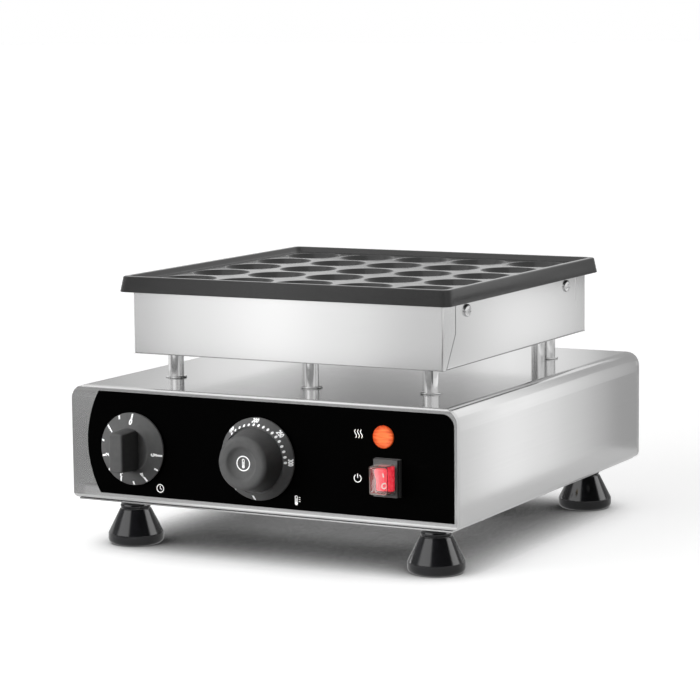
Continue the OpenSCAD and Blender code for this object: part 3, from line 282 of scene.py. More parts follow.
def fan(name, x, y, stops):
    """Level ring round a foot that shows from below; places run from the rear by the left, the view and the right."""
    steps, inner, outer, z = 72, 12.5, 110.0, 36.4
    corners, faces, places = [], [], []
    for k in range(steps):
        a = 2 * math.pi * k / steps - math.pi
        arm = VIEW_AHEAD * math.cos(a) + VIEW_SIDE * math.sin(a)
        for reach in (inner, outer):
            corners.append((x + arm.x * reach, y + arm.y * reach, z))
        m = (k + 1) % steps
        faces.append((2 * k, 2 * m, 2 * m + 1, 2 * k + 1))
        places += [k / steps, (k + 1) / steps, (k + 1) / steps, k / steps]
    reflector(name, corners, faces, places, stops, True)


def arc(name, centre, inner, outer, stops):
    """Upright part of a ring behind the appliance; places run outwards."""
    steps, first, last = 24, math.radians(28), math.radians(90)
    x, y, z = centre
    corners, faces, places = [], [], []
    for k in range(steps + 1):
        a = first + (last - first) * k / steps
        for reach in (inner, outer):
            corners.append((x + reach * math.cos(a), y, z + reach * math.sin(a)))
    for k in range(steps):
        faces.append((2 * k, 2 * k + 1, 2 * k + 3, 2 * k + 2))
        places += [0, 1, 1, 0]
    reflector(name, corners, faces, places, stops, False)


def set_cards():
    """Studio cards that the polished surfaces mirror."""
    card(
        "card_front_low", (-330, -300), (230, -300), 0, 45,
        [(0.0, 0.10), (0.2, 0.13), (0.3, 0.25), (0.4, 0.44), (0.75, 0.5), (1.0, 0.5)],
    )
    card(
        "card_front_middle", (-330, -300), (230, -300), 45, 110,
        [(0.0, 0.12), (0.2, 0.14), (0.3, 0.22), (1.0, 0.30)],
    )
    card(
        "card_front_high", (-330, -300), (230, -300), 110, 420,
        [(0.0, 0.52), (0.16, 0.62), (0.25, 1.06), (0.40, 1.42), (0.5, 1.13), (0.65, 0.70), (1.0, 0.68)],
    )
    card(
        "card_right_low", (285, 20), (285, 620), 0, 91,
        [(0.0, 0.74), (0.10, 0.85), (0.30, 1.25), (0.42, 1.10), (0.52, 0.88), (0.65, 0.62), (0.8, 0.51), (1.0, 0.51)],
    )
    card(
        "card_right_high", (285, 20), (285, 620), 91, 150,
        [(0.0, 0.62), (0.30, 0.72), (0.52, 1.40), (0.66, 1.29), (0.8, 0.98), (1.0, 0.9)],
    )
    card(
        "card_left", (-620, 380), (-620, -420), 0, 420,
        [(0.0, 0.6), (0.3, 0.8), (0.55, 1.25), (0.75, 1.0), (1.0, 0.6)],
    )
    card(
        "card_back", (330, 420), (-570, 420), 0, 245,
        [(0.0, 0.46), (0.30, 0.46), (0.327, 0.50), (0.353, 0.72), (0.38, 0.86),
         (0.422, 0.95), (0.439, 0.99), (0.467, 0.92), (0.496, 0.72), (0.517, 0.70), (0.56, 0.60), (0.614, 0.62),
         (0.66, 0.82), (0.706, 0.96), (0.737, 1.0), (0.801, 0.86), (0.833, 0.74), (0.879, 0.6), (0.912, 0.6),
         (0.96, 0.45), (1.0, 0.42)],
    )
    card("card_back_left", (-430, 415), (-620, 415), 214, 265, [(0.0, 0.74), (0.4, 0.55), (1.0, 0.36)])
    card(
        "card_bend_right", (172, 200), (172, -145), 104, 127,
        [(0.0, 0.5), (0.06, 0.57), (0.20, 0.70), (0.31, 0.86), (0.48, 1.1), (0.64, 1.26), (0.76, 1.26), (0.86, 1.13),
         (0.98, 0.94), (1.0, 0.92)], True,
    )
    arc("arc_bend_right", (130.0, 416.0, 120.0), 130.0, 420.0, [
        (0.0, 0.5), (0.138, 0.57), (0.231, 0.70), (0.30, 0.86), (0.414, 1.1), (0.517, 1.26), (0.593, 1.26),
        (0.659, 1.13), (0.734, 0.94), (1.0, 0.9),
    ])
    card("card_back_right", (330, 418), (245, 418), 95, 150, [(0.0, 1.15), (0.8, 1.05), (1.0, 0.6)])
    card("card_rim", (480, 414), (270, 414), 187, 213, [(0.0, 0.42), (0.4, 0.42), (1.0, 0.76)])
    middle = VIEW_AHEAD * 450.0
    card(
        "card_camera", tuple(middle - VIEW_SIDE * 230.0), tuple(middle + VIEW_SIDE * 230.0), 60, 150,
        [(0.0, 0.5), (0.1, 0.13), (0.9, 0.13), (1.0, 0.5)],
    )
    card("glint_cover", (90, -240), (66, -240), 45, 80, [(0.0, 2.0), (0.4, 3.0), (0.55, 6.0), (1.0, 7.0)], True)
    card("card_panel_top", (156, -176), (-174, -176), 118.3, 131, [(0.0, 0.34), (1.0, 0.28)], True)
    card("card_panel_low", (156, -176), (-156, -176), 38.5, 46, [(0.0, 0.42), (1.0, 0.36)], True)
    card("card_posts", (330, -292), (-10, -292), 105.5, 117, [(0.0, 0.14), (1.0, 0.14)], True)
    mat = [(-150, -330, 0.6), (160, -330, 0.6), (160, -190, 0.6), (-150, -190, 0.6)]
    reflector(
        "mat_front", mat, [(0, 1, 2, 3)], (0, 1, 1, 0),
        [(0.0, 0.5), (0.12, 1.0), (0.25, 1.35), (0.7, 1.35), (1.0, 1.0)], True,
    )
    for row, side, x, y in FEET:
        fan("fan_%s_%s" % (row, side), x, y, [
            (0.0, 0.35), (0.278, 0.35), (0.305, 3.0), (0.42, 3.2), (0.44, 0.06), (0.655, 0.06),
            (0.675, 4.4), (0.75, 4.0), (0.77, 0.5), (1.0, 0.35),
        ])


# ---- Materials

def material(name, colour, roughness, **sockets):
    """Principled material; sockets are further inputs, with _ for a space."""
    mat = bpy.data.materials.new(name)
    mat.use_nodes = True
    bsdf = mat.node_tree.nodes["Principled BSDF"]
    bsdf.inputs["Base Color"].default_value = (*colour, 1.0)
    bsdf.inputs["Roughness"].default_value = roughness
    for key, value in sockets.items():
        bsdf.inputs[key.replace("_", " ")].default_value = value
    return mat


def bsdf_of(mat):
    return mat.node_tree.nodes["Principled BSDF"]


def noise(mat, scale, stretch=(1.0, 1.0, 1.0), detail=4.0):
    """Noise in the piece's own metres, finer along an axis with a larger stretch."""
    tree = mat.node_tree
    coords = tree.nodes.new("ShaderNodeTexCoord")
    mapping = tree.nodes.new("ShaderNodeMapping")
    mapping.inputs["Scale"].default_value = stretch
    grain = tree.nodes.new("ShaderNodeTexNoise")
    grain.inputs["Scale"].default_value = scale
    grain.inputs["Detail"].default_value = detail
    tree.links.new(coords.outputs["Object"], mapping.inputs["Vector"])
    tree.links.new(mapping.outputs["Vector"], grain.inputs["Vector"])
    return grain.outputs["Fac"]


def spread(mat, value, low, high, start=0.3, end=0.7):
    """A value near the middle of a noise, mapped on low to high."""
    return map_range(mat.node_tree, value, start, end, low, high)


def tint(mat, value, low, high, start=0.3, end=0.7):
    """Base colour from low to high."""
    ramp = mat.node_tree.nodes.new("ShaderNodeValToRGB")
    first, last = ramp.color_ramp.elements
    first.position, last.position = start, end
    first.color, last.color = (*low, 1.0), (*high, 1.0)
    mat.node_tree.links.new(value, ramp.inputs["Fac"])
    mat.node_tree.links.new(ramp.outputs["Color"], bsdf_of(mat).inputs["Base Color"])


def roughen(mat, value, low, high):
    """Roughness from low to high."""
    mat.node_tree.links.new(spread(mat, value, low, high), bsdf_of(mat).inputs["Roughness"])


def emboss(mat, value, depth, strength=1.0):
    """Bump of that depth in metres."""
    bump = mat.node_tree.nodes.new("ShaderNodeBump")
    bump.inputs["Distance"].default_value = depth
    bump.inputs["Strength"].default_value = strength
    mat.node_tree.links.new(value, bump.inputs["Height"])
    mat.node_tree.links.new(bump.outputs["Normal"], bsdf_of(mat).inputs["Normal"])


def grey(level):
    return (level, level, level)


def sheet_steel(name, level, roughness):
    """Stainless sheet with faint brushing: level on upright faces and across on flat ones."""
    mat = material(name, grey(level), roughness, Metallic=1.0)
    tree = mat.node_tree
    upright = noise(mat, 1.0, (9.0, 9.0, 2600.0), 3.0)
    flat = noise(mat, 1.0, (9.0, 2600.0, 9.0), 3.0)
    facing = tree.nodes.new("ShaderNodeNewGeometry")
    split = tree.nodes.new("ShaderNodeSeparateXYZ")
    tree.links.new(facing.outputs["Normal"], split.inputs[0])
    steep = tree.nodes.new("ShaderNodeMath")
    steep.operation = "ABSOLUTE"
    tree.links.new(split.outputs["Z"], steep.inputs[0])
    streaks = blend(tree, steep.outputs[0], upright, flat)
    tint(mat, streaks, grey(level * 0.985), grey(level * 1.015))
    roughen(mat, streaks, roughness * 0.96, roughness * 1.05)
    return mat


def make_materials():
    """All finishes, by the name of their slot or of the piece that they suit."""
    made = {}
    made["stainless"] = sheet_steel("stainless_sheet", 0.62, 0.2)
    made["shell_steel"] = sheet_steel("shell_steel", 0.62, 0.12)
    made["panel_steel"] = sheet_steel("panel_steel", 0.60, 0.24)
    bright = material("polished_steel", grey(0.66), 0.12, Metallic=1.0)
    roughen(bright, noise(bright, 260.0), 0.09, 0.17)
    made["bright_steel"] = bright

    plated = material("plated_steel", grey(0.6), 0.3, Metallic=1.0)
    cloud = noise(plated, 420.0)
    tint(plated, cloud, (0.55, 0.55, 0.53), (0.66, 0.66, 0.65))
    roughen(plated, cloud, 0.24, 0.38)
    made["plated_steel"] = plated

    brass = material("brass", (0.70, 0.52, 0.22), 0.3, Metallic=1.0)
    cloud = noise(brass, 380.0)
    tint(brass, cloud, (0.62, 0.45, 0.18), (0.76, 0.58, 0.26))
    roughen(brass, cloud, 0.22, 0.38)
    made["brass"] = brass

    overlay = material("overlay_film", grey(0.0012), 0.5, Specular_IOR_Level=0.0)
    fine = noise(overlay, 5200.0, detail=2.0)
    tint(overlay, fine, grey(0.0008), grey(0.0018))
    roughen(overlay, fine, 0.38, 0.55)
    emboss(overlay, fine, 0.00002)
    made["overlay"] = overlay

    knob = material("knob_plastic", grey(0.108), 0.42, Specular_IOR_Level=0.06)
    fine = noise(knob, 2600.0, detail=3.0)
    tint(knob, noise(knob, 240.0), grey(0.102), grey(0.114))
    roughen(knob, fine, 0.38, 0.52)
    emboss(knob, fine, 0.00005)
    made["knob_plastic"] = knob

    black = material("black_plastic", grey(0.007), 0.14, Specular_IOR_Level=0.4)
    fine = noise(black, 900.0, detail=3.0)
    tint(black, noise(black, 160.0), (0.006, 0.006, 0.007), (0.009, 0.009, 0.011))
    roughen(black, fine, 0.11, 0.18)
    emboss(black, fine, 0.00002)
    made["black_plastic"] = black

    dark = material("grey_plastic", (0.044, 0.047, 0.050), 0.32, Specular_IOR_Level=0.12)
    fine = noise(dark, 1800.0, detail=3.0)
    tint(dark, noise(dark, 300.0), (0.041, 0.044, 0.047), (0.047, 0.050, 0.053))
    roughen(dark, fine, 0.26, 0.42)
    emboss(dark, fine, 0.00003)
    made["grey_plastic"] = dark

    pale = material("white_plastic", grey(0.7), 0.4)
    fine = noise(pale, 1200.0)
    tint(pale, fine, (0.66, 0.65, 0.61), (0.74, 0.73, 0.70))
    roughen(pale, fine, 0.34, 0.48)
    made["white_plastic"] = pale

    lens = material(
        "orange_lens", (1.0, 0.17, 0.025), 0.2, Specular_IOR_Level=0.25,
        Emission_Color=(1.0, 0.17, 0.025, 1.0), Emission_Strength=0.12,
    )
    bands = noise(lens, 420.0, (0.3, 1.0, 1.8), 2.0)
    # Painted shade: the colour turns a darker red towards the beaded rim, standing in for the shade at the lens's
    # edge
    tree = lens.node_tree
    coords = tree.nodes.new("ShaderNodeTexCoord")
    away = tree.nodes.new("ShaderNodeVectorMath")
    away.operation = "DISTANCE"
    away.inputs[1].default_value = Vector((LAMP[0], FACE_Y, LAMP[1])) * MM
    tree.links.new(coords.outputs["Object"], away.inputs[0])
    painted_rim_shade = tree.nodes.new("ShaderNodeMath")
    painted_rim_shade.operation = "SUBTRACT"
    tree.links.new(bands, painted_rim_shade.inputs[0])
    tree.links.new(spread(lens, away.outputs["Value"], 0.0, 0.45, 4.6 * MM, 7.9 * MM), painted_rim_shade.inputs[1])
    tint(lens, painted_rim_shade.outputs[0], (0.62, 0.05, 0.006), (1.0, 0.2, 0.038), 0.0, 0.55)
    roughen(lens, bands, 0.16, 0.26)
    made["orange_lens"] = lens

    # Painted glow: the key's emission makes it brighter than the lamps light it
    rocker = material(
        "red_rocker", (0.88, 0.04, 0.07), 0.25, Specular_IOR_Level=0.4,
        Emission_Color=(1.0, 0.035, 0.075, 1.0), Emission_Strength=0.55,
    )
    cloud = noise(rocker, 500.0)
    tint(rocker, cloud, (0.82, 0.032, 0.06), (0.94, 0.055, 0.09))
    roughen(rocker, cloud, 0.2, 0.32)
    made["red_rocker"] = rocker

    clear = material("clear_cover", (0.90, 0.87, 0.82), 0.04, Transmission_Weight=1.0, IOR=1.46)
    wave = noise(clear, 160.0, detail=2.0)
    roughen(clear, wave, 0.02, 0.07)
    emboss(clear, wave, 0.0002, 0.5)
    # Painted sheen: paler where it is seen at a slant, standing in for the bright reflections along the cover's edges
    slant = clear.node_tree.nodes.new("ShaderNodeLayerWeight")
    slant.inputs["Blend"].default_value = 0.5
    through = spread(clear, slant.outputs["Facing"], 0.985, 0.5, 0.6, 0.9)
    clear.node_tree.links.new(through, bsdf_of(clear).inputs["Transmission Weight"])
    made["clear_cover"] = clear

    coat = material("coated_casting", grey(0.015), 0.16, Specular_IOR_Level=0.44)
    fine = noise(coat, 3400.0, detail=3.0)
    cloud = noise(coat, 90.0)
    tint(coat, fine, grey(0.011), grey(0.018), 0.38, 0.66)
    roughen(coat, cloud, 0.13, 0.19)
    emboss(coat, fine, 0.00002, 0.35)
    made["coated_casting"] = coat

    wool = material("mineral_wool", (0.72, 0.68, 0.55), 0.95)
    fibres = noise(wool, 600.0, (1.0, 3.0, 8.0), 6.0)
    tint(wool, fibres, (0.60, 0.56, 0.43), (0.80, 0.77, 0.66))
    emboss(wool, fibres, 0.0006)
    made["mineral_wool"] = wool

    # Painted glow: the print's emission makes it brighter than the lamps light it
    print_white = material(
        "print_white", grey(0.92), 0.5, Emission_Color=(1.0, 1.0, 1.0, 1.0), Emission_Strength=0.2,
    )
    fine = noise(print_white, 3000.0, detail=2.0)
    tint(print_white, fine, grey(0.88), grey(0.95))
    roughen(print_white, fine, 0.42, 0.58)
    made["print_white"] = print_white
    return made


def soften(obj, width):
    """Rounds the sharp edges of a CAD node as they are shown."""
    weld = obj.modifiers.new("join", "WELD")
    weld.merge_threshold = 0.005 * MM
    bevel = obj.modifiers.new("round", "BEVEL")
    bevel.width = width * MM
    bevel.segments = 3
    bevel.limit_method = "ANGLE"
    bevel.angle_limit = math.radians(40)


def dress_nodes(made):
    """Each CAD node takes the material of its slot."""
    slot_of = {part["node"]: part["material_slot"] for part in frame["record"]["subparts"]}
    for name, obj in nodes.items():
        key = slot_of[name]
        if name in ("front_panel", "rear_panel"):
            key = "panel_steel"
        if name == "body_shell":
            key = "shell_steel"
        if name.startswith("post_") or name in ("wire_tube", "capillary_tube"):
            key = "bright_steel"
        obj.data.materials.clear()
        obj.data.materials.append(made[key])
        if name in ("case_front", "case_rear"):
            soften(obj, 0.8)


# ---- Mesh helpers

def on_front(x, z):
    """Placement in millimetres whose third axis leaves the front panel and whose second points up."""
    turn = Matrix(((1, 0, 0), (0, 0, -1), (0, 1, 0)))
    return Matrix.Translation((x, FACE_Y, z)) @ turn.to_4x4()


def fillet(corners, steps=6):
    """Outline through corners (x, y, radius), each rounded by its radius."""
    done = []
    count = len(corners)
    for i, (x, y, radius) in enumerate(corners):
        here = Vector((x, y))
        before = Vector(corners[i - 1][:2]) - here
        after = Vector(corners[(i + 1) % count][:2]) - here
        if radius <= 0 or before.length == 0 or after.length == 0:
            done.append((x, y))
            continue
        before.normalize()
        after.normalize()
        half = before.angle(after) / 2
        reach = radius / math.tan(half)
        centre = here + (before + after).normalized() * (radius / math.sin(half))
        first = here + before * reach - centre
        last = here + after * reach - centre
        sweep = first.angle_signed(last)
        for k in range(steps + 1):
            arm = first.copy()
            arm.rotate(Matrix.Rotation(-sweep * k / steps, 2))
            done.append((centre.x + arm.x, centre.y + arm.y))
    return done


def loft(bm, loops, closed_ends=(True, True), ring=False):
    """Skin through loops of equally many points; ring joins the last loop to the first."""
    rows = [[bm.verts.new(p) for p in loop] for loop in loops]
    count = len(rows[0])
    pairs = list(zip(rows, rows[1:]))
    if ring:
        pairs.append((rows[-1], rows[0]))
    for a, b in pairs:
        for i in range(count):
            j = (i + 1) % count
            bm.faces.new((a[i], a[j], b[j], b[i]))
    if not ring and closed_ends[0]:
        bm.faces.new(list(reversed(rows[0])))
    if not ring and closed_ends[1]:
        bm.faces.new(rows[-1])
    return rows


def circle(radius, z, segments):
    """Points round the third axis at height z."""
    steps = [2 * math.pi * i / segments for i in range(segments)]
    return [(radius * math.cos(a), radius * math.sin(a), z) for a in steps]


def revolve(bm, profile, segments, ring=False):
    """Turns a profile of (radius, height) round the third axis; its ends are closed flat unless it is a ring."""
    loft(bm, [circle(r, z, segments) for r, z in profile], (True, True), ring)


def rounded_rect(w, h, radius, z):
    """Points of a rectangle with round corners at height z."""
    corners = [(-w / 2, -h / 2, radius), (w / 2, -h / 2, radius), (w / 2, h / 2, radius), (-w / 2, h / 2, radius)]
    return [(x, y, z) for x, y in fillet(corners, 5)]


def make_piece(name, bm, mat, body, place=None, sharp=35.0, weld=1e-4):
    """Puts a mesh built in millimetres into the scene, riding on its body."""
    if weld:
        bmesh.ops.remove_doubles(bm, verts=bm.verts, dist=weld)
    if place is not None:
        bm.transform(place)
    bm.transform(Matrix.Scale(MM, 4))
    bmesh.ops.recalc_face_normals(bm, faces=bm.faces)
    mesh = bpy.data.meshes.new(name)
    bm.to_mesh(mesh)
    bm.free()
    mesh.materials.append(mat)
    for poly in mesh.polygons:
        poly.use_smooth = True
    mesh.set_sharp_from_angle(angle=math.radians(sharp))
    obj = bpy.data.objects.new(name, mesh)
    scene.collection.objects.link(obj)
    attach(obj, body)
    return obj


# ---- Feet, knobs, lamp and switch

def make_feet():
    """Conical feet with two beads at the neck and a bore for the screw."""
    profile = fillet([
        (2.75, 22.0, 0), (7.0, 22.0, 0.5), (7.0, 0.0, 0.8), (21.1, 0.0, 4.2), (21.1, 8.2, 3.0),
        (11.9, 26.4, 0.5), (10.9, 26.4, 0.3), (10.9, 27.4, 0.3), (11.5, 28.1, 0.6), (11.5, 29.4, 0.6),
        (10.9, 30.1, 0.3), (10.9, 31.0, 0.3), (11.4, 31.7, 0.5), (11.4, 33.0, 0.5), (11.0, 33.6, 0.2),
        (11.0, 37.0, 0), (2.75, 37.0, 0),
    ], 6)
    for row, side, x, y in FEET:
        bm = bmesh.new()
        revolve(bm, profile, 96, ring=True)
        foot = make_piece(
            "cone_foot_%s_%s" % (row, side), bm, finish["black_plastic"], "appliance",
            Matrix.Translation((x, y, 0)),
        )
        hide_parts("foot_%s_%s" % (row, side))


def bar_outline(half_w, end_r, z):
    """Plan of the bar grip: straight sides between arcs of the knob's own circle."""
    corner = min(1.2, half_w * 0.9)
    inner = end_r - corner
    reach = math.sqrt(inner * inner - (half_w - corner) ** 2)
    base = math.atan2(reach, half_w - corner)
    points = []
    for k in range(7):
        a = base * k / 6
        points.append((half_w - corner + corner * math.cos(a), reach + corner * math.sin(a)))
    for k in range(1, 12):
        a = base + (math.pi - 2 * base) * k / 12
        points.append((end_r * math.cos(a), end_r * math.sin(a)))
    for k in range(7):
        a = math.pi - base + base * k / 6
        points.append((-half_w + corner + corner * math.cos(a), reach + corner * math.sin(a)))
    return [(x, y, z) for x, y in points] + [(-x, -y, z) for x, y in points]


def make_timer_knob():
    """Sloping skirt with a round pocket, from which a tapered bar grip rises."""
    foot_z, top_z, edge_r = 3.8, 24.5, 1.5
    foot_half_w, half_w_loss, foot_r, r_loss = 6.5, 0.8, 16.8, 2.0
    (skirt_r, skirt_z), (neck_r, neck_z) = TIMER_SKIRT
    bm = bmesh.new()
    profile = fillet([
        (0.02, 2.6, 0), (21.9, 2.6, 0.6), (25.0, 0.0, 0.3), (skirt_r, 0.0, 0.4), (skirt_r, skirt_z, 0.9),
        (neck_r, neck_z, 0.5), (15.6, neck_z, 0.3), (15.6, 3.6, 0.6), (0.02, 3.6, 0),
    ], 6)
    revolve(bm, profile, 128)

    def bar(z, inset):
        half_w = foot_half_w - half_w_loss * (z - foot_z) / (top_z - foot_z)
        return bar_outline(half_w - inset, foot_r - r_loss * z / top_z - inset, z)

    loops = [bar(z, 0.0) for z in (3.1, 7.0, 12.0, 18.0, top_z - edge_r)]
    for k in range(1, 7):
        a = math.radians(15 * k)
        loops.append(bar(top_z - edge_r + edge_r * math.sin(a), edge_r * (1 - math.cos(a))))
    loft(bm, loops)
    knob = make_piece(
        "timer_grip", bm, finish["knob_plastic"], "timer_dial",
        on_front(TIMER_X, CONTROL_Z) @ Matrix.Translation((0, 0, KNOB_BACK)),
    )
    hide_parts("timer_knob")


DISH_R, DISH_FLOOR, DISH_DEPTH = 12.5, 21.8, 3.2


def dish_height(r):
    """The barrel's hollow front: almost level in the middle, steep at its edge."""
    return DISH_FLOOR + DISH_DEPTH * (r / DISH_R) ** 4


def make_temperature_knob():
    """Sloping skirt, a groove and a tapered barrel with a hollow front."""
    (skirt_r, skirt_z), _ = TEMPERATURE_SKIRT
    bm = bmesh.new()
    dish = [(r, dish_height(r), 0) for r in (11.0, 10.0, 8.8, 7.5, 6.0, 4.5, 3.0, 1.5, 0.02)]
    profile = fillet([
        (0.02, 18.5, 0), (16.5, 18.5, 0.8), (16.5, 4.9, 0), (22.9, 4.9, 0.8), (28.2, 0.0, 0.3),
        (skirt_r, 0.0, 0.4), (skirt_r, skirt_z, 0.9), (24.6, 7.58, 0.25), (24.5, 6.0, 0.15), (23.1, 6.0, 0.15),
        (19.5, 25.0, 4.4), (DISH_R, 25.0, 3.5),
    ] + dish, 8)
    revolve(bm, profile, 128)
    knob = make_piece(
        "temperature_grip", bm, finish["knob_plastic"], "temperature_dial",
        on_front(THERMOSTAT_X, CONTROL_Z) @ Matrix.Translation((0, 0, KNOB_BACK)),
    )
    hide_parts("temperature_knob")


def make_lens():
    """Pilot lens: a beaded rim round a low dome with level ribs."""
    segments, dome_r, dome_z, dome_rise = 96, 6.9, 1.1, 0.4
    rib_height, rib_pitch = 0.13, 1.5
    beads, bead_ring, bead_r = 20, 7.6, 0.5
    bm = bmesh.new()
    rows = [(5.75, -5.0), (5.75, 0.0), (8.2, 0.0), (8.2, 0.5), (8.1, 0.8), (7.8, 1.1), (7.3, 1.2), (dome_r, 1.05)]
    loops = [circle(r, z, segments) for r, z in rows]
    for k in range(17):
        r = 6.7 - 0.4 * k
        crown = dome_z + dome_rise * (1 - (r / dome_r) ** 2)
        fade = min(1.0, (dome_r - r) / 0.6)
        loop = []
        for x, y, _ in circle(r, 0, segments):
            rib = rib_height * math.cos(2 * math.pi * y / rib_pitch) * fade
            loop.append((x, y, crown + rib))
        loops.append(loop)
    loft(bm, loops)
    for k in range(beads):
        a = 2 * math.pi * (k + 0.5) / beads
        bead = Matrix.Translation((bead_ring * math.cos(a), bead_ring * math.sin(a), 1.0))
        bmesh.ops.create_uvsphere(bm, u_segments=12, v_segments=8, radius=bead_r, matrix=bead)
    lens = make_piece(
        "ribbed_lens", bm, finish["orange_lens"], "appliance",
        on_front(*LAMP) @ Matrix.Translation((0, 0, OVERLAY_T)), sharp=50.0,
    )
    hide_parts("lamp_lens")


def make_cover():
    """Clear splash cover: a box with rounded edges, open at the back."""
    seat, top, wall, w, h = 5.3, 18.2, 0.8, 14.6, 20.6
    outer = [rounded_rect(w, h, 2.0, seat)]
    round_r = 1.6
    for k in range(6):
        a = math.radians(90.0 * k / 5)
        inset = round_r * (1 - math.cos(a))
        z = top - round_r + round_r * math.sin(a)
        outer.append(rounded_rect(w - 2 * inset, h - 2 * inset, 2.0 - inset * 0.9, z))
    inner = [rounded_rect(w - 2 * wall, h - 2 * wall, 1.2, seat)]
    round_r = 0.8
    for k in range(6):
        a = math.radians(90.0 * k / 5)
        inset = wall + round_r * (1 - math.cos(a))
        z = top - wall - round_r + round_r * math.sin(a)
        inner.append(rounded_rect(w - 2 * inset, h - 2 * inset, 1.25 - (inset - wall) * 0.9, z))
    bm = bmesh.new()
    rows_out = loft(bm, outer, (False, True))
    rows_in = loft(bm, inner, (False, True))
    first, last = rows_out[0], rows_in[0]
    count = len(first)
    for i in range(count):
        j = (i + 1) % count
        bm.faces.new((first[i], last[i], last[j], first[j]))
    cover = make_piece(
        "splash_cover", bm, finish["clear_cover"], "appliance", on_front(*SWITCH), sharp=60.0,
    )
    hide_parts("switch_cover")


def make_rocker():
    """Rocker with softened edges; its two faces meet at a crease and its lower end is pressed in."""
    half, w, base = 7.8, 12.4, -3.5
    crease = ROCKER_CREASE - ROCKER_PIVOT
    end = crease + half * math.tan(ROCKER_TILT)
    outline = fillet([
        (-half - 0.5, base, 0.3), (half + 0.5, base, 0.3), (half, end, 0.7), (0.0, crease, 1.5), (-half, end, 0.7),
    ], 6)
    bm = bmesh.new()
    loops = []
    for x, inset in ((-w / 2, 0.5), (-w / 2 + 0.15, 0.15), (-w / 2 + 0.5, 0.0), (w / 2 - 0.5, 0.0),
                     (w / 2 - 0.15, 0.15), (w / 2, 0.5)):
        shrink = 1.0 - inset / 7.0
        loops.append([(x, y * shrink, 3.0 + (z - 3.0) * shrink) for y, z in outline])
    loft(bm, loops)
    for side in (-1, 1):
        stub = Matrix.Translation((side * (w / 2 + 0.5), 0, 0)) @ Matrix.Rotation(math.pi / 2, 4, "Y")
        bmesh.ops.create_cone(
            bm, cap_ends=True, segments=32, radius1=1.5, radius2=1.5, depth=2.2, matrix=stub
        )
    lean = Matrix.Rotation(ROCKER_TILT, 4, "X")
    place = on_front(*SWITCH) @ Matrix.Translation((0, 0, ROCKER_PIVOT)) @ lean
    rocker = make_piece("red_key", bm, finish["red_rocker"], "rocker", place)
    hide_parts("switch_rocker")
    return place


# ---- Washers and case screws

def make_washers():
    """Washers under the posts and the wire tube, with rolled edges."""
    outer, top, post_bore, tube_bore = 8.25, SHELL_TOP + 1.2, 3.2, 5.45
    places = [(x, y, post_bore) for x, y in POSTS] + [(*WIRE_TUBE, tube_bore)]
    bm = bmesh.new()
    for cx, cy, bore in places:
        section = fillet([(bore, SHELL_TOP, 0.1), (outer, SHELL_TOP, 0.5), (outer, top, 0.65), (bore, top, 0.1)], 6)
        loft(bm, [[(cx + x, cy + y, z) for x, y, z in circle(r, z, 72)] for r, z in section], ring=True)
    washers = make_piece("rolled_washers", bm, finish["bright_steel"], "appliance")
    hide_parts("post_washers")


def cross_depth(x, y):
    """Depth of a screw's cross recess below its dome, with sloping walls."""
    depth, half_w, side_slope, half_l, end_slope = 1.4, 0.95, 0.3, 2.8, 0.5
    near, far = sorted((abs(x), abs(y)))
    across = min(1.0, max(0.0, (half_w - near) / side_slope))
    along = min(1.0, max(0.0, (half_l - far) / end_slope))
    return depth * across * along


def make_case_screws():
    """Domed heads with a cross recess in the sides of the heater case."""
    head_r, head_h, wall = 4.7, 2.63, 0.7
    rings = [(2.1, -12.0), (2.5, -11.6), (2.5, 0.0), (head_r - 0.1, 0.0), (head_r, 0.1), (head_r, wall)]
    plain = len(rings)
    rings += [(head_r * math.cos(a), wall + (head_h - wall) * math.sin(a))
              for a in (math.radians(8 * k) for k in range(1, 6))]
    rings += [(r, wall + (head_h - wall) * math.sqrt(1 - (r / head_r) ** 2))
              for r in (0.3 * k for k in range(11, 0, -1))]
    bm = bmesh.new()
    for side in (-1, 1):
        for y in (-CASE_SCREW_Y, CASE_SCREW_Y):
            place = Matrix.Translation((side * CASE_HALF, MID_Y + y, CASE_SCREW_Z))
            place = place @ Matrix.Rotation(side * math.pi / 2, 4, "Y")
            loops = []
            for k, (r, z) in enumerate(rings):
                loop = circle(r, z, 72)
                if k >= plain:
                    loop = [(u, v, w - cross_depth(u, v)) for u, v, w in loop]
                loops.append([place @ Vector(p) for p in loop])
            loft(bm, loops)
    screws = make_piece("cross_screws", bm, finish["bright_steel"], "appliance")
    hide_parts("case_screws")


# ---- Baking plate

RIM_HALF, RIM_TOP_HALF, RIM_TOP_W, RIM_CORNER = 138.5, 136.5, 4.0, 5.5
RIM_Z, PLATE_TOP, LAND_Z, BLOCK_Z, BLOCK_HALF = 191.0, 203.0, 199.2, 180.0, 128.2
CUP_PITCH, CUP_R, CUP_DEPTH, CUP_FLOOR_R, CUPS = 50.0, 22.5, 10.5, 10.0, 5
FIELD_HALF = CUPS * CUP_PITCH / 2
CUP_SEGMENTS = 96


def cup_profile():
    """Cup from its lip to its middle as (radius, depth below the lands)."""
    lip = 0.6
    rise = (CUP_R ** 2 - CUP_FLOOR_R ** 2 - CUP_DEPTH ** 2) / (2 * CUP_DEPTH)
    ball = math.sqrt(CUP_FLOOR_R ** 2 + (CUP_DEPTH + rise) ** 2)
    wall = []
    for k in range(1, 9):
        depth = CUP_DEPTH * k / 9
        wall.append((math.sqrt(ball ** 2 - (rise + depth) ** 2), depth, 0))
    floor = [(CUP_FLOOR_R, CUP_DEPTH, 2.0), (0.02, CUP_DEPTH, 0)]
    return fillet([(CUP_R + 3.0, 0.0, 0), (CUP_R, 0.0, lip)] + wall + floor, 6)[1:]


